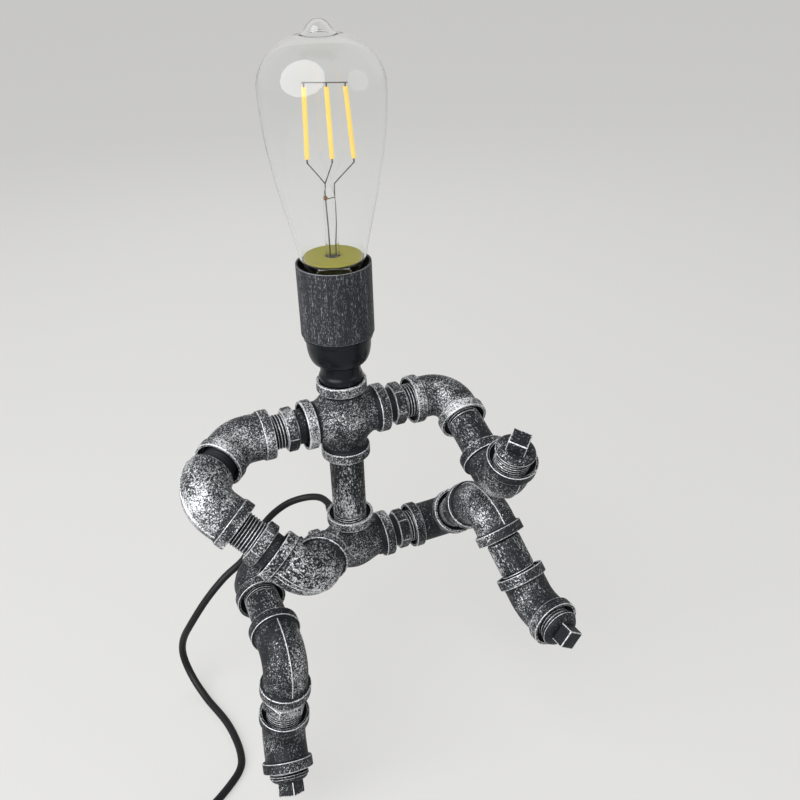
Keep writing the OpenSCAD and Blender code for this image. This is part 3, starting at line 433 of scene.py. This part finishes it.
def bent_ring(s, r, angle, reach, bend_r):
    """Ring round the centreline of a bend, at distance s from its first face."""
    tangent = bend_r * math.tan(math.radians(angle) / 2)
    straight = reach - tangent
    arc = math.radians(angle) * bend_r
    if s <= straight:
        centre, outward = np.array([0, 0, s - reach]), np.array([-1.0, 0, 0])
    else:
        turned = min((s - straight) / bend_r, math.radians(angle))
        outward = np.array([-math.cos(turned), 0, math.sin(turned)])
        centre = np.array([bend_r - bend_r * math.cos(turned), 0, bend_r * math.sin(turned) - tangent])
        if s > straight + arc:
            centre = centre + (s - straight - arc) * np.array([math.sin(turned), 0, math.cos(turned)])
    across = (r * np.cos(BENT_AROUND))[:, None] * outward
    return centre + across + (r * np.sin(BENT_AROUND))[:, None] * np.array([0, 1.0, 0])


def ridge(where, width, height, radius):
    """Height of a raised seam at angle `where` of a bent body."""
    off = ((BENT_AROUND - where + math.pi) % (2 * math.pi) - math.pi) * radius
    return height * np.exp(-(off / width) ** 2)


def thread(z0, z1):
    """Helical pipe thread, bare on its crests and black in its grooves, where the black also carries painted
    shade.
    """
    around = circle(72)
    rings, wear_and_shade = [], []
    for z in np.arange(z0, z1 + 1e-6, THREAD_PITCH / 8):
        from_crest = np.abs(2 * ((z / THREAD_PITCH - around / (2 * math.pi)) % 1.0) - 1)
        cut = np.clip((from_crest - 0.12) / 0.76, 0, 1)
        rings.append(ring(THREAD_R - THREAD_DEPTH * cut, around, z))
        wear_and_shade.append(np.clip(1 - cut * 2.6, -1, 1))
    return skin(rings, wear_and_shade)


def polygon_r(around, sides, flat, rounding, first=0.0):
    """Radius of a rounded regular polygon, whose first flat looks to the angle `first`."""
    flats = []
    for k in range(sides):
        facing = np.cos(around - math.radians(first) - 2 * math.pi * k / sides)
        flats.append(flat / np.maximum(1e-3, facing) * np.where(facing > 0.3, 1, 1e3))
    return -rounding * np.log(np.sum(np.exp(-np.array(flats) / rounding), 0))


def hexagon(z0, z1, flat=11.75, corner=13.35, chamfer=1.0, count=144):
    """Hexagon with rubbed bare corners, whose ends are turned down to its flats."""
    around = circle(count)
    side = polygon_r(around, 6, flat, 0.25)
    near_corner = np.clip(((side - flat) / (side.max() - flat) - 0.86) / 0.14, 0, 1)
    wear_and_shade_level, end_r = 0.9, np.minimum(side, flat)
    rise = [(chamfer * f, np.minimum(side, flat + (corner - flat) * f), wear_and_shade_level * (1 - 0.7 * f))
            for f in (0.25, 0.5, 0.75, 1.0)]
    rows = [(z0, end_r * 0.80, 0.0), (z0, end_r - 0.15, wear_and_shade_level)]
    rows += [(z0 + up, r, wear_and_shade) for up, r, wear_and_shade in rise]
    rows += [(z0 + chamfer + (z1 - z0 - 2 * chamfer) * f, side, 0.48) for f in (0.15, 0.35, 0.5, 0.65, 0.85)]
    rows += [(z1 - up, r, wear_and_shade) for up, r, wear_and_shade in reversed(rise)]
    rows += [(z1, end_r - 0.15, wear_and_shade_level), (z1, end_r * 0.80, 0.0)]
    part = skin([ring(r, around, z) for z, r, _ in rows],
                [np.maximum(wear_and_shade, near_corner * wear_and_shade_level * 0.9) for _, _, wear_and_shade in rows])
    return cap(cap(part, count), count, False)


def square_head(z0, z1, half=5.6, chamfer=0.45, count=160):
    """Square head with straight bare edges."""
    around = circle(count)
    side = polygon_r(around, 4, half, 0.18, 45)
    near_corner = np.clip((side - half) / (side.max() - half) * 4.5 - 3.5, 0, 1)
    edge = z1 - chamfer
    rows = [(z0 + (edge - z0) * f, 0.0, -0.35) for f in (0, 0.2, 0.4, 0.6, 0.8, 0.93)]
    rows += [(edge, 0.0, 0.7), (z1 - chamfer * 0.5, chamfer * 0.3, 1.0), (z1, chamfer, 0.8),
             (z1, chamfer + 0.55, -0.2), (z1, 2.2, -0.35), (z1, 3.8, -0.35)]
    part = skin([ring(side * (1 - inset / half), around, z) for z, inset, _ in rows],
                [np.maximum(wear_and_shade, near_corner * (1.05 if inset < 0.1 else -1.0)) for _, inset, wear_and_shade in rows])
    return cap(part, count, False)


# ---------------------------------------------------------------- fittings
# Each takes the face that it starts from, and gives the face where the next one starts.
def nipple(name, face, body, gap, flip=False):
    """Hex nipple over a gap: a plain neck on one side of its hexagon, thread on the other."""
    # The neck is held at -1 to -0.3, dark where it goes into the port and against the hexagon: painted shade
    # over the unbrushed black.
    neck = [(-8, 10.2, 0, -1), (-0.6, 10.2, 0.3, -0.8), (0.2, 10.5, 0.3, -0.3), (3.6, 10.5, 0.3, -0.3),
            (5.4, 10.5, 0, -1)]
    parts = [lathe(fill(soften(neck), 0.8)), hexagon(5, 12), thread(11.8, gap + 6)]
    start = face @ along(gap) @ tip(180) if flip else face
    make(name, parts, start, body, NIPPLE)
    return face @ along(gap)


def pipe(name, face, body, gap):
    """Plain pipe over a gap, with its threads going into both fittings."""
    shell = [(1.2, 9.6, 0, 0), (1.9, PIPE_R, 0.5, 0.6), (gap - 1.9, PIPE_R, 0.5, 0.6), (gap - 1.2, 9.6, 0, 0)]
    parts = [lathe(fill(soften(shell), 1.5)), thread(-THREAD_IN, 1.8), thread(gap - 1.8, gap + THREAD_IN)]
    make(name, parts, face, body, PIPE)
    return face @ along(gap)


def elbow(name, face, body, twist, angle=90, reach=REACH, bend_r=BEND_R, body_r=BODY_R, seams=((0, 0.5),),
          material=CAST):
    """Elbow with a port at both ends; seams are (offset, height) ridges on the outside of its bend."""
    total = 2 * (reach - bend_r * math.tan(math.radians(angle) / 2)) + math.radians(angle) * bend_r
    near = port(body_r)
    far = [(total - s, r, rounding, wear_and_shade) for s, r, rounding, wear_and_shade in reversed(near)]
    rows = fill(soften(near + far), 1.0)
    rows += [(s, BORE_R, 0) for s in np.linspace(total - PORT_DEPTH, PORT_DEPTH, 14)]
    rings, wear_and_shade_rings = [], []
    for s, r, wear_and_shade_level in rows:
        radius, wear_and_shade = np.full(BENT_AROUND.shape, r), np.full(BENT_AROUND.shape, wear_and_shade_level)
        from_band = min(s, total - s) - BAND_W - 0.6
        if r > body_r - 0.2 and from_band > 0:
            fade = min(1, from_band)
            # Lighter on the outside of the bend and darker on its inside: partly rubbed high spots, partly
            # painted shade in the bend's hollow.
            wear_and_shade = wear_and_shade + 0.42 * np.cos(BENT_AROUND) * min(1, from_band / 3)
            for off, height in seams:
                raised = ridge(off / body_r, 0.42, height, body_r)
                radius = radius + raised * fade
                wear_and_shade = np.maximum(wear_and_shade, raised / height * fade)
            radius = radius + ridge(math.pi, 0.5, 0.3, body_r) * fade
        rings.append(bent_ring(s, radius, angle, reach, bend_r))
        wear_and_shade_rings.append(wear_and_shade)
    middle = face @ along(reach) @ turn(twist)
    make(name, [skin(rings, wear_and_shade_rings, True)], middle, body, material)
    return middle @ bend(angle) @ along(reach)


def street_elbow(name, face, body, twist):
    """Elbow with a dark male thread that screws into the fitting behind, and a port ahead."""
    foot = STREET_MALE - STREET_BEND_R
    total = foot + math.radians(90) * STREET_BEND_R + STREET_REACH - STREET_BEND_R
    shoulder = [(foot - 3.6, 10.2, 0, 0), (foot - 3.2, 10.6, 0.3, 0.2),
                (foot - 1.4, WIDE_BODY_R - 0.4, 0.8, 0.5), (foot + 0.2, WIDE_BODY_R, 0.8, 0)]
    far = [(total - s, r, rounding, wear_and_shade) for s, r, rounding, wear_and_shade in reversed(port(WIDE_BODY_R))]
    rings, wear_and_shade_rings = [], []
    for s, r, wear_and_shade_level in fill(soften(shoulder + far), 1.0):
        radius, wear_and_shade = np.full(BENT_AROUND.shape, r), np.full(BENT_AROUND.shape, wear_and_shade_level)
        from_band = total - s - BAND_W - 0.6
        if r > WIDE_BODY_R - 0.2 and from_band > 0 and s > foot:
            fade = min(1, from_band, (s - foot) / 2)
            # Lighter on the outside of the bend and darker on its inside, a little lighter overall: partly
            # rubbed high spots, partly painted shade in the bend's hollow.
            wear_and_shade = wear_and_shade + (0.45 * np.cos(BENT_AROUND) + 0.1) * min(1, from_band / 3)
            raised = ridge(0, 0.6, 0.7, WIDE_BODY_R)
            radius = radius + raised * fade
            wear_and_shade = np.maximum(wear_and_shade, raised / 0.7 * fade)
        # bent_ring counts from a face at STREET_REACH, and the male side is STREET_MALE long
        rings.append(bent_ring(s + STREET_REACH - STREET_MALE, radius, 90, STREET_REACH, STREET_BEND_R))
        wear_and_shade_rings.append(wear_and_shade)
    places, faces, wear_and_shade = thread(-STREET_MALE - THREAD_IN, 4.6 - STREET_MALE)
    male = places, faces, np.minimum(wear_and_shade, -0.5)
    middle = face @ along(STREET_MALE) @ turn(twist)
    make(name, [skin(rings, wear_and_shade_rings), male], middle, body, CAST_BRIGHT)
    return middle @ bend(90) @ along(STREET_REACH)


def plug(name, face, body, bare):
    """Plug with a bare stretch of thread, a grooved flange, a dome and a square head."""
    # The flange's foot against the port and its groove are darkened: painted shade over the unbrushed black.
    flange = [(-0.3, 9.0, 0, -1), (0, 11.5, 0.2, 0.5), (0.2, 11.7, 0.25, 1.0), (0.8, 11.7, 0.15, 0.2),
              (1.0, 11.45, 0.15, -0.5), (1.2, 11.7, 0.15, 0.2), (1.8, 11.7, 0.25, 1.0), (2, 11.2, 0.2, 0.2)]
    dome = [(2 + 3 * math.sin(math.radians(a)), 5.5 + 5.6 * math.cos(math.radians(a)), 0, 0.3)
            for a in range(15, 91, 15)]
    profile = [(bare + z, r, rounding, wear_and_shade) for z, r, rounding, wear_and_shade in flange + dome + [(5, 0.0, 0, 0)]]
    parts = [thread(-THREAD_IN, bare + 0.2), lathe(fill(soften(profile), 0.7)),
             square_head(bare + 3.4, bare + 12.5)]
    make(name, parts, face, body, PLUG)


def hub(name, middle, body, ways, web=3.4):
    """Tee or cross: branches that blend into each other, with a port at the end of each way."""
    ball = bmesh.new()
    bmesh.ops.create_icosphere(ball, subdivisions=7, radius=1.0)
    rays = np.array([v.co[:] for v in ball.verts])
    faces = [tuple(v.index for v in f.verts) for f in ball.faces]
    ball.free()
    axes = [bend(angle)[:3, 2] for angle in ways]

    def outside(distances):
        """Above 0 where the points at these distances along the rays lie outside the blended body."""
        points = rays * distances[:, None]
        from_middle = np.linalg.norm(points, axis=1)
        gaps = []
        for axis in axes:
            ahead = points @ axis
            from_axis = np.linalg.norm(points - ahead[:, None] * axis, axis=1)
            gaps.append(np.where(ahead > 0, from_axis, from_middle) - BODY_R)
        gaps.append(from_middle - (BODY_R - 0.5))
        blend = web * (math.log(1.55) - np.log(np.sum(np.exp(-np.array(gaps) / web), 0)))
        past_cut = np.max([points @ axis for axis in axes], 0) - (REACH - BAND_W - 0.1)
        return np.maximum(blend, past_cut)

    low, high = np.full(len(rays), 8.0), np.full(len(rays), 30.0)
    for _ in range(26):
        half = (low + high) / 2
        is_outside = outside(half) > 0
        high = np.where(is_outside, half, high)
        low = np.where(is_outside, low, half)
    parts = [(rays * low[:, None], faces, np.zeros(len(rays)))]
    rows = soften([(REACH - s, r, rounding, wear_and_shade) for s, r, rounding, wear_and_shade in port(BODY_R)])
    for angle in ways:
        places, faces, wear_and_shade = lathe(fill(rows, 1.0))
        parts.append((places @ bend(angle)[:3, :3].T, faces, wear_and_shade))
    make(name, parts, middle, body, CAST_BRIGHT)
    return [middle @ bend(angle) @ along(REACH) for angle in ways]


# ---------------------------------------------------------------- the figure, from the pelvis outwards
UP, RIGHT, DOWN, LEFT = 0, 90, 180, -90
HAND_BARE, LEFT_HAND_BARE, FOOT_BARE = 5, 2, 2

pelvis_at = along(BAND_R)
spine, right_hip, left_hip = hub("pelvis_tee", pelvis_at, "pelvis", (UP, RIGHT, LEFT))
chest_at = spine @ along(SPINE + REACH)
neck_at, right_shoulder, _, left_shoulder = hub("chest_cross", chest_at, "torso", (UP, RIGHT, DOWN, LEFT))
pipe("spine_pipe", spine, "torso", SPINE)

face = nipple("right_shoulder_nipple", right_shoulder, "right_arm", 17.5)
face = elbow("right_elbow", face, "right_arm", -70, material=CAST_BRIGHT)
face = pipe("right_forearm_pipe", face, "right_arm", 25)
face = elbow("right_hand", face, "right_hand", -92)
plug("right_hand_plug", face, "right_hand", HAND_BARE)

face = nipple("left_shoulder_nipple", left_shoulder @ turn(180), "left_arm", 20)
face = elbow("left_shoulder_elbow", face, "left_arm", 78, **HALF_BEND, body_r=WIDE_BODY_R,
             material=CAST_BRIGHT)
face = street_elbow("left_street_elbow", face, "left_forearm", -28)
face = nipple("left_wrist_nipple", face, "left_forearm", 23.5, flip=True)
face = elbow("left_hand", face, "left_hand", -17, seams=((-1.2, 0.35), (1.2, 0.35)), material=CAST_WORN)
plug("left_hand_plug", face, "left_hand", LEFT_HAND_BARE)

face = nipple("right_hip_nipple", right_hip, "right_thigh", 15.5)
face = elbow("right_hip_elbow", face, "right_thigh", -133)
face = pipe("right_thigh_pipe", face, "right_thigh", 20.5)
face = elbow("right_knee", face, "right_shin", 100)
face = pipe("right_shin_pipe", face, "right_shin", 22.5)
face = elbow("right_foot", face, "right_foot", -178, **HALF_BEND)
plug("right_foot_plug", face, "right_foot", FOOT_BARE)

face = nipple("left_hip_nipple", left_hip @ turn(180), "left_thigh", 17)
face = elbow("left_hip_elbow", face, "left_thigh", 87)
face = pipe("left_thigh_pipe", face, "left_thigh", 23)
face = elbow("left_knee", face, "left_shin", -96, seams=((0, 0.55),))
face = nipple("left_shin_nipple", face, "left_shin", 18)
face = elbow("left_foot", face, "left_foot", -176, **HALF_BEND)
plug("left_foot_plug", face, "left_foot", FOOT_BARE)

# ---------------------------------------------------------------- head, from the cross's upper face
CUP_Z, CUP_H, LIP_H = 12.0, 16.0, 3.0
SLEEVE_Z = CUP_Z + CUP_H + LIP_H
SLEEVE_H, SLEEVE_R, SLEEVE_BORE_R = 42.0, 21.0, 19.8


def lamp_cup():
    dome = []
    for a in (math.radians(angle) for angle in range(8, 91, 6)):
        dome.append((CUP_Z + CUP_H * (1 - math.cos(a) ** 0.8), 12.2 + 6.6 * math.sin(a) ** 0.8, 0, 0))
    lip_z = CUP_Z + CUP_H
    # The crease under the lip is darkened: painted shade.
    lip = [(lip_z + 0.1, 18.9, 0, -0.8), (lip_z + 0.3, 20.0, 0.3, 0.6), (SLEEVE_Z - 0.1, 20.2, 0.3, 0.2),
           (SLEEVE_Z - 0.1, 17.5, 0, 0)]
    inside = [(lip_z, 17.2, 0, 0), (CUP_Z + 8, 16.4, 0, 0), (CUP_Z + 2, 9, 0, 0), (CUP_Z + 1.6, 6.0, 0, 0)]
    profile = [(CUP_Z, 6.0, 0, -0.6), (CUP_Z, 12.0, 0.6, -0.3)] + dome + lip + inside
    make("lamp_cup", [lathe(fill(soften(profile), 1.5), 96, True)], neck_at, "head", ENAMEL)


def lamp_sleeve():
    floor_r, floor_h = 17.7, 1.5
    profile = [(0, floor_r, 0, 0), (0, SLEEVE_R, 0.5, 0.9), (SLEEVE_H, SLEEVE_R, 0.25, 1.0),
               (SLEEVE_H, SLEEVE_BORE_R, 0.25, 0.8), (floor_h + 0.1, SLEEVE_BORE_R, 0, 0),
               (floor_h, floor_r, 0, 0)]
    at = neck_at @ along(SLEEVE_Z)
    make("lamp_sleeve", [lathe(fill(soften(profile), 1.5), 96, True)], at, "head", SLEEVE)


def neck_stud():
    bore_r = 3.6
    profile = [(-8, bore_r, 0, 0), (-8, 10.3, 0, 0), (-0.8, 10.3, 0.3, 0), (0.4, 12.9, 0.6, 0.2),
               (3.6, 13.0, 1.2, 0.1), (5.4, 12.0, 1.0, -0.2), (8.5, 11.8, 1.5, 0),
               (CUP_Z - 0.15, 11.9, 0.3, 0.1), (CUP_Z - 0.1, 5.1, 0, 0), (CUP_Z + 8.4, 5.0, 0.3, 0),
               (CUP_Z + 8.6, bore_r, 0, 0)]
    make("neck_stud", [lathe(fill(soften(profile), 1.0), 72, True)], neck_at, "head", ENAMEL)


lamp_cup()
lamp_sleeve()
neck_stud()

# ---------------------------------------------------------------- bulb, from the sleeve's rim
NECK_R, EQUATOR_R, CAP_R, TIP_R = 17.8, 32.5, 12.2, 9.5
EQUATOR_Z, TOP_Z = 91.0, 116.0
WALL = 1.0
FILAMENT_Z, FILAMENT_L = 56.0, 35.0
FILAMENTS = ((-9.5, 2), (2.5, -1), (12.8, -4))  # place across and lean of each
bulb_at = neck_at @ along(SLEEVE_Z + SLEEVE_H)
wires_at = bulb_at @ turn(-23)


def bezier(a, b, c, d, t):
    return a * (1 - t) ** 3 + 3 * b * t * (1 - t) ** 2 + 3 * c * t * t * (1 - t) + d * t ** 3


def glass_profile(inset):
    """Rows of the glass from its cap over its equator to the drawn tip, moved in by an inset."""
    neck, equator, foot, tip_r = (r - inset for r in (NECK_R, EQUATOR_R, CAP_R, TIP_R))
    top = TOP_Z - inset
    curves = [(6, (-13, -8, -4, 0), (foot, foot, neck - 1.2, neck)),
              (24, (0, 26, EQUATOR_Z - 36, EQUATOR_Z), (neck, neck + 4.2, equator, equator)),
              (24, (EQUATOR_Z, EQUATOR_Z + 14, top, top - 0.5), (equator, equator, equator * 0.55, tip_r))]
    rows = [(bezier(*heights, k / count), bezier(*radii, k / count), 0)
            for count, heights, radii in curves for k in range(count)]
    heights, radii = (top - 0.5, top + 0.5, top + 6.5, top + 6.5), (tip_r, tip_r - 3, tip_r - 4, 0)
    return rows + [(bezier(*heights, k / 14), bezier(*radii, k / 14), 0) for k in range(15)]


def strand(points, r, count=12):
    """Round wire through points."""
    places = np.array(points, float)
    around = circle(count)
    rings = []
    for place, ahead in zip(places, np.gradient(places, axis=0)):
        ahead = ahead / np.linalg.norm(ahead)
        across = np.cross(ahead, (0.21, 0.93, 0.31))
        across /= np.linalg.norm(across)
        other = np.cross(ahead, across)
        rings.append(place + r * (np.cos(around)[:, None] * across + np.sin(around)[:, None] * other))
    part = skin(rings, [0] * len(rings))
    return cap(cap(part, count), count, False)


def bulb_glass():
    rows = glass_profile(0) + glass_profile(WALL)[::-1]
    make("bulb_glass", [lathe(rows, 96, True)], bulb_at, "bulb", GLASS)


def bulb_stem():
    """Flared foot and a slim post."""
    flare = [(-9, 0, 0, 0), (-9, 10, 0.3, 0), (-8, 10.2, 0.5, 0), (-4, 8.4, 1.5, 0), (0.6, 5.6, 1.5, 0),
             (2.6, 4.1, 1.5, 0)]
    post = [(8.4, 3.7, 2, 0), (13.4, 3.4, 2, 0), (34, 3.4, 2, 0), (39, 2.4, 1.5, 0), (41.4, 1.8, 0.9, 0),
            (42, 0, 0, 0)]
    make("bulb_stem", [lathe(fill(soften(flare + post), 2), 48)], bulb_at, "bulb", STEM)


def filaments_and_wires():
    half_lean = [np.array([math.tan(math.radians(lean)) * FILAMENT_L / 2, 0, 0]) for _, lean in FILAMENTS]
    feet = [np.array([x, 0, FILAMENT_Z]) - lean for (x, _), lean in zip(FILAMENTS, half_lean)]
    heads = [np.array([x, 0, FILAMENT_Z + FILAMENT_L]) + lean for (x, _), lean in zip(FILAMENTS, half_lean)]
    shares = (0, 0.01, 0.03, 0.25, 0.5, 0.75, 0.97, 0.99, 1)
    filaments = [strand([foot + (head - foot) * f for f in shares], 1.2, 20)
                 for foot, head in zip(feet, heads)]
    make("bulb_filaments", filaments, wires_at, "bulb", FILAMENT)

    bar_z = FILAMENT_Z + FILAMENT_L + 2
    bar = [(heads[0][0] - 1.2, 0, bar_z + 0.3), (0, 0, bar_z), (heads[2][0] + 1.2, 0, bar_z - 0.2)]
    hook = np.array([0, 0, 2.2])
    left_lead, right_lead = np.array([-1.6, 0, 43.0]), np.array([3.2, 0, 43.0])
    wires = [strand(bar, 0.32)]
    wires += [strand([head, (head[0], 0, bar_z)], 0.4) for head in heads]
    wires += [strand([foot, foot - hook], 0.45) for foot in feet]
    for foot, lead in zip(feet, (left_lead, left_lead, right_lead)):
        start = foot - hook
        wires.append(strand([start, start + (lead - start) * 0.5 + np.array([0, 0.3, 0]), lead], 0.33))
    wires.append(strand([left_lead, (-1.7, 0, 38), (-1.3, 0, 20), (-1.2, 0, 2)], 0.33))
    wires.append(strand([right_lead, (3.0, 0, 38), (2.6, 0, 22), (1.6, 0, 10), (1.4, 0, 2)], 0.33))
    wires.append(strand([(-1.7, 0, 35.2), (0, 0.5, 34.9), (1.4, 0.2, 35.6), (3.0, 0, 35.3)], 0.28))
    make("bulb_wires", wires, wires_at, "bulb", WIRE)


def bulb_bead():
    """Small amber bead on the left lead."""
    half_turn = [math.radians(a) for a in range(0, 181, 15)]
    rows = [(-1.3 * math.cos(a), 1.05 * math.sin(a) + 0.02, 0) for a in half_turn]
    at = wires_at @ move(-1.7, 0, 35.4)
    make("bulb_bead", [lathe(rows, 24)], at, "bulb", BEAD, stands_in=False)


def bulb_disc():
    bottom, top, outer, inner = 2.4, 3.8, 16.3, 4.5
    profile = [(bottom, inner, 0, 0), (bottom, outer, 0.4, 0), (top, outer, 0.4, 0), (top, inner, 0, 0)]
    make("bulb_disc", [lathe(fill(soften(profile), 1.5), 72, True)], bulb_at, "bulb", DISC)


bulb_glass()
bulb_stem()
filaments_and_wires()
bulb_bead()
bulb_disc()

# ---------------------------------------------------------------- cord
CORD_R = 2.5
TABLE_Z = -104.0
LYING_Z = TABLE_Z + CORD_R
LAYER = 2 * CORD_R  # from one turn of the coil to the next, and from its lower layer to its upper
COIL_R, COIL_TURNS, LOWER_TURNS = 37.5, 6.5, 3
STEPS_PER_TURN = 24
ROUTE = [[0, 12, 15], [0, 24, 15], [0, 36, 15], [0, 48, 15], [-3, 58, 14], [-11, 66, 11], [-23, 69, 8],
         [-35, 66, 5], [-46, 58, 3], [-56, 48, 0], [-66, 38, -5], [-81, 35, -13], [-95, 35, -27],
         [-108, 37, -46], [-115, 43, -64], [-117, 44, -80], [-114, 35, -95], [-108, 16, -101.5],
         [-101, -7, -101.5], [-98.5, -27, -101.5], [-99.5, -41, -101.5], [-103.5, -49, -101.5],
         [-111, -56, -101.5], [-119, -62, -101.5], [-127, -68, -100], [-136, -74.8, -98],
         [-144, -80.8, -98], [-168, -98.8, -98], [-192, -116.8, -98], [-204, -125.8, -100],
         [-216, -134.8, -101.5]]


def on_curve(before, start, end, after, t):
    """Place on a smooth curve from start to end that passes through all four points."""
    return 0.5 * (2 * start + (end - before) * t + (2 * before - 5 * start + 4 * end - after) * t * t
                  + (3 * start - before - 3 * end + after) * t ** 3)


def coil_turn(turns):
    """Radius and height of the coil: inwards on the table, up, and outwards over it."""
    if turns <= LOWER_TURNS:
        return COIL_R - LAYER * turns, LYING_Z
    if turns < LOWER_TURNS + 0.5:
        f = (turns - LOWER_TURNS) / 0.5
        return COIL_R - LAYER * turns, LYING_Z + LAYER * (3 * f * f - 2 * f ** 3)
    return COIL_R + LAYER * (turns - 2 * LOWER_TURNS - 1), LYING_Z + LAYER


def cord_points():
    route = np.array(ROUTE, float)
    last = len(route) - 1
    points = []
    for k in range(last):
        corners = route[max(k - 1, 0)], route[k], route[k + 1], route[min(k + 2, last)]
        points += [on_curve(*corners, j / 4) for j in range(4)]
    centre = route[-1][:2] + COIL_R * np.array([0.6, -0.8])
    first = math.atan2(0.8, -0.6)
    for i in range(int(COIL_TURNS * STEPS_PER_TURN) + 1):
        turns = i / STEPS_PER_TURN
        r, z = coil_turn(turns)
        a = first + 2 * math.pi * turns
        points.append(np.array([centre[0] + r * math.cos(a), centre[1] + r * math.sin(a), z]))
    points = [np.array([x, y, max(z, LYING_Z)]) for x, y, z in points]
    end = points[-1]
    to_plug = [np.array([0.8 * d, 0.6 * d, -0.5 * min(1, d / 12)]) for d in (4, 8, 12, 15)]
    return points + [end + step for step in to_plug]


def cord_object(points):
    curve = bpy.data.curves.new("cord", "CURVE")
    curve.dimensions = "3D"
    curve.bevel_depth = CORD_R * 0.001
    curve.bevel_resolution = 5
    curve.use_fill_caps = True
    line = curve.splines.new("POLY")
    line.points.add(len(points) - 1)
    for knot, place in zip(line.points, points):
        knot.co = (*(place * 0.001), 1)
    line.use_smooth = True
    curve.materials.append(RUBBER)
    obj = bpy.data.objects.new("cord", curve)
    bpy.context.collection.objects.link(obj)
    return obj


def cord_bush():
    """Ribbed strain relief round the cord behind the pelvis."""
    ribs = [(6.6 + 3.9 * k, 5.0 - 0.283 * k + (0.22 if k % 2 else -0.22), 0, 0) for k in range(7)]
    profile = [(3.2, 2.6, 0, 0), (3.2, 4.9, 0.2, 0)] + ribs + [(30, 3.2, 0.4, 0), (30, 2.5, 0, 0)]
    at = pelvis_at @ move(0, 13.9, 0) @ tip(-90)
    make("cord_bush", [lathe(fill(soften(profile), 0.8), 40, True)], at, "pelvis", RUBBER)


points = cord_points()
cord = cord_object(points)
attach(cord, "pelvis")
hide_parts("cord_tube", "cord_coil")
cord_bush()

# ---------------------------------------------------------------- nodes that keep their CAD shape
KEPT = {"cord_gland": ENAMEL, "switch_base": BLACK, "switch_cover": BLACK, "switch_rocker": ROCKER,
        "switch_pivot": STEEL, "mains_plug": BLACK, "plug_pins": NICKEL, "cup_nut": STEEL,
        "lamp_holder": BAKELITE, "screw_shell": BRASS, "holder_contact": BRASS, "bulb_cap": NICKEL,
        "bulb_contact": SOLDER}
for node, material in KEPT.items():
    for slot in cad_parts[node].material_slots:
        slot.material = material


# ---------------------------------------------------------------- floor, background and lamps
LAMPS_AIM = Vector((0, 0, 0.1))


def seen_share(tree):
    """1 for rays that show the background itself, in view, mirrored or through glass, and 0 for the rest."""
    path = add(tree, "ShaderNodeLightPath")
    bounced = op(tree, "MAXIMUM", path.outputs["Is Glossy Ray"], path.outputs["Is Transmission Ray"])
    return op(tree, "MAXIMUM", path.outputs["Is Camera Ray"], bounced)


def mix_shaders(tree, share, first, second, output):
    mixer = add(tree, "ShaderNodeMixShader")
    tree.links.new(share, mixer.inputs[0])
    tree.links.new(first.outputs[0], mixer.inputs[1])
    tree.links.new(second.outputs[0], mixer.inputs[2])
    tree.links.new(mixer.outputs[0], tree.nodes[output].inputs["Surface"])


def add_floor():
    half, z = 30, TABLE_Z * 0.001
    mesh = bpy.data.meshes.new("floor")
    corners = [(-half, -half, z), (half, -half, z), (half, half, z), (-half, half, z)]
    mesh.from_pydata(corners, [], [(0, 1, 2, 3)])
    material, tree, shader = new_material("floor_pale")
    shader.inputs["Base Color"].default_value = (0.54, 0.54, 0.535, 1)
    shader.inputs["Roughness"].default_value = 0.8
    glow = add(tree, "ShaderNodeEmission", Color=(0.72, 0.715, 0.70, 1), Strength=1.0)
    share = op(tree, "MULTIPLY", seen_share(tree), 0.72)
    mix_shaders(tree, share, shader, glow, "Material Output")
    mesh.materials.append(material)
    floor = bpy.data.objects.new("floor", mesh)
    bpy.context.collection.objects.link(floor)


def add_world():
    world = bpy.data.worlds.new("studio")
    bpy.context.scene.world = world
    world.use_nodes = True
    tree = world.node_tree
    lighting = tree.nodes["Background"]
    lighting.inputs["Color"].default_value = (0.80, 0.80, 0.79, 1)
    lighting.inputs["Strength"].default_value = 0.36
    pale = add(tree, "ShaderNodeBackground", Color=(0.66, 0.65, 0.635, 1), Strength=1.0)
    mix_shaders(tree, seen_share(tree), lighting, pale, "World Output")


def add_lamp(name, at, size, power, mirrored=True):
    """Round lamp that looks at the figure's chest."""
    data = bpy.data.lights.new(name, "AREA")
    data.shape = "DISK"
    data.energy = power
    data.size = size
    lamp = bpy.data.objects.new(name, data)
    lamp.visible_glossy = mirrored
    lamp.visible_transmission = False
    lamp.location = at
    lamp.rotation_euler = (LAMPS_AIM - Vector(at)).to_track_quat("-Z", "Y").to_euler()
    bpy.context.collection.objects.link(lamp)


add_floor()
add_world()
add_lamp("key", (-0.75, -0.45, 0.85), 1.6, 36)
add_lamp("fill", (0.9, -0.7, 0.7), 0.9, 3)
add_lamp("back", (0.2, 1.0, 0.9), 0.9, 6, mirrored=False)

bpy.context.scene.view_settings.view_transform = "Standard"
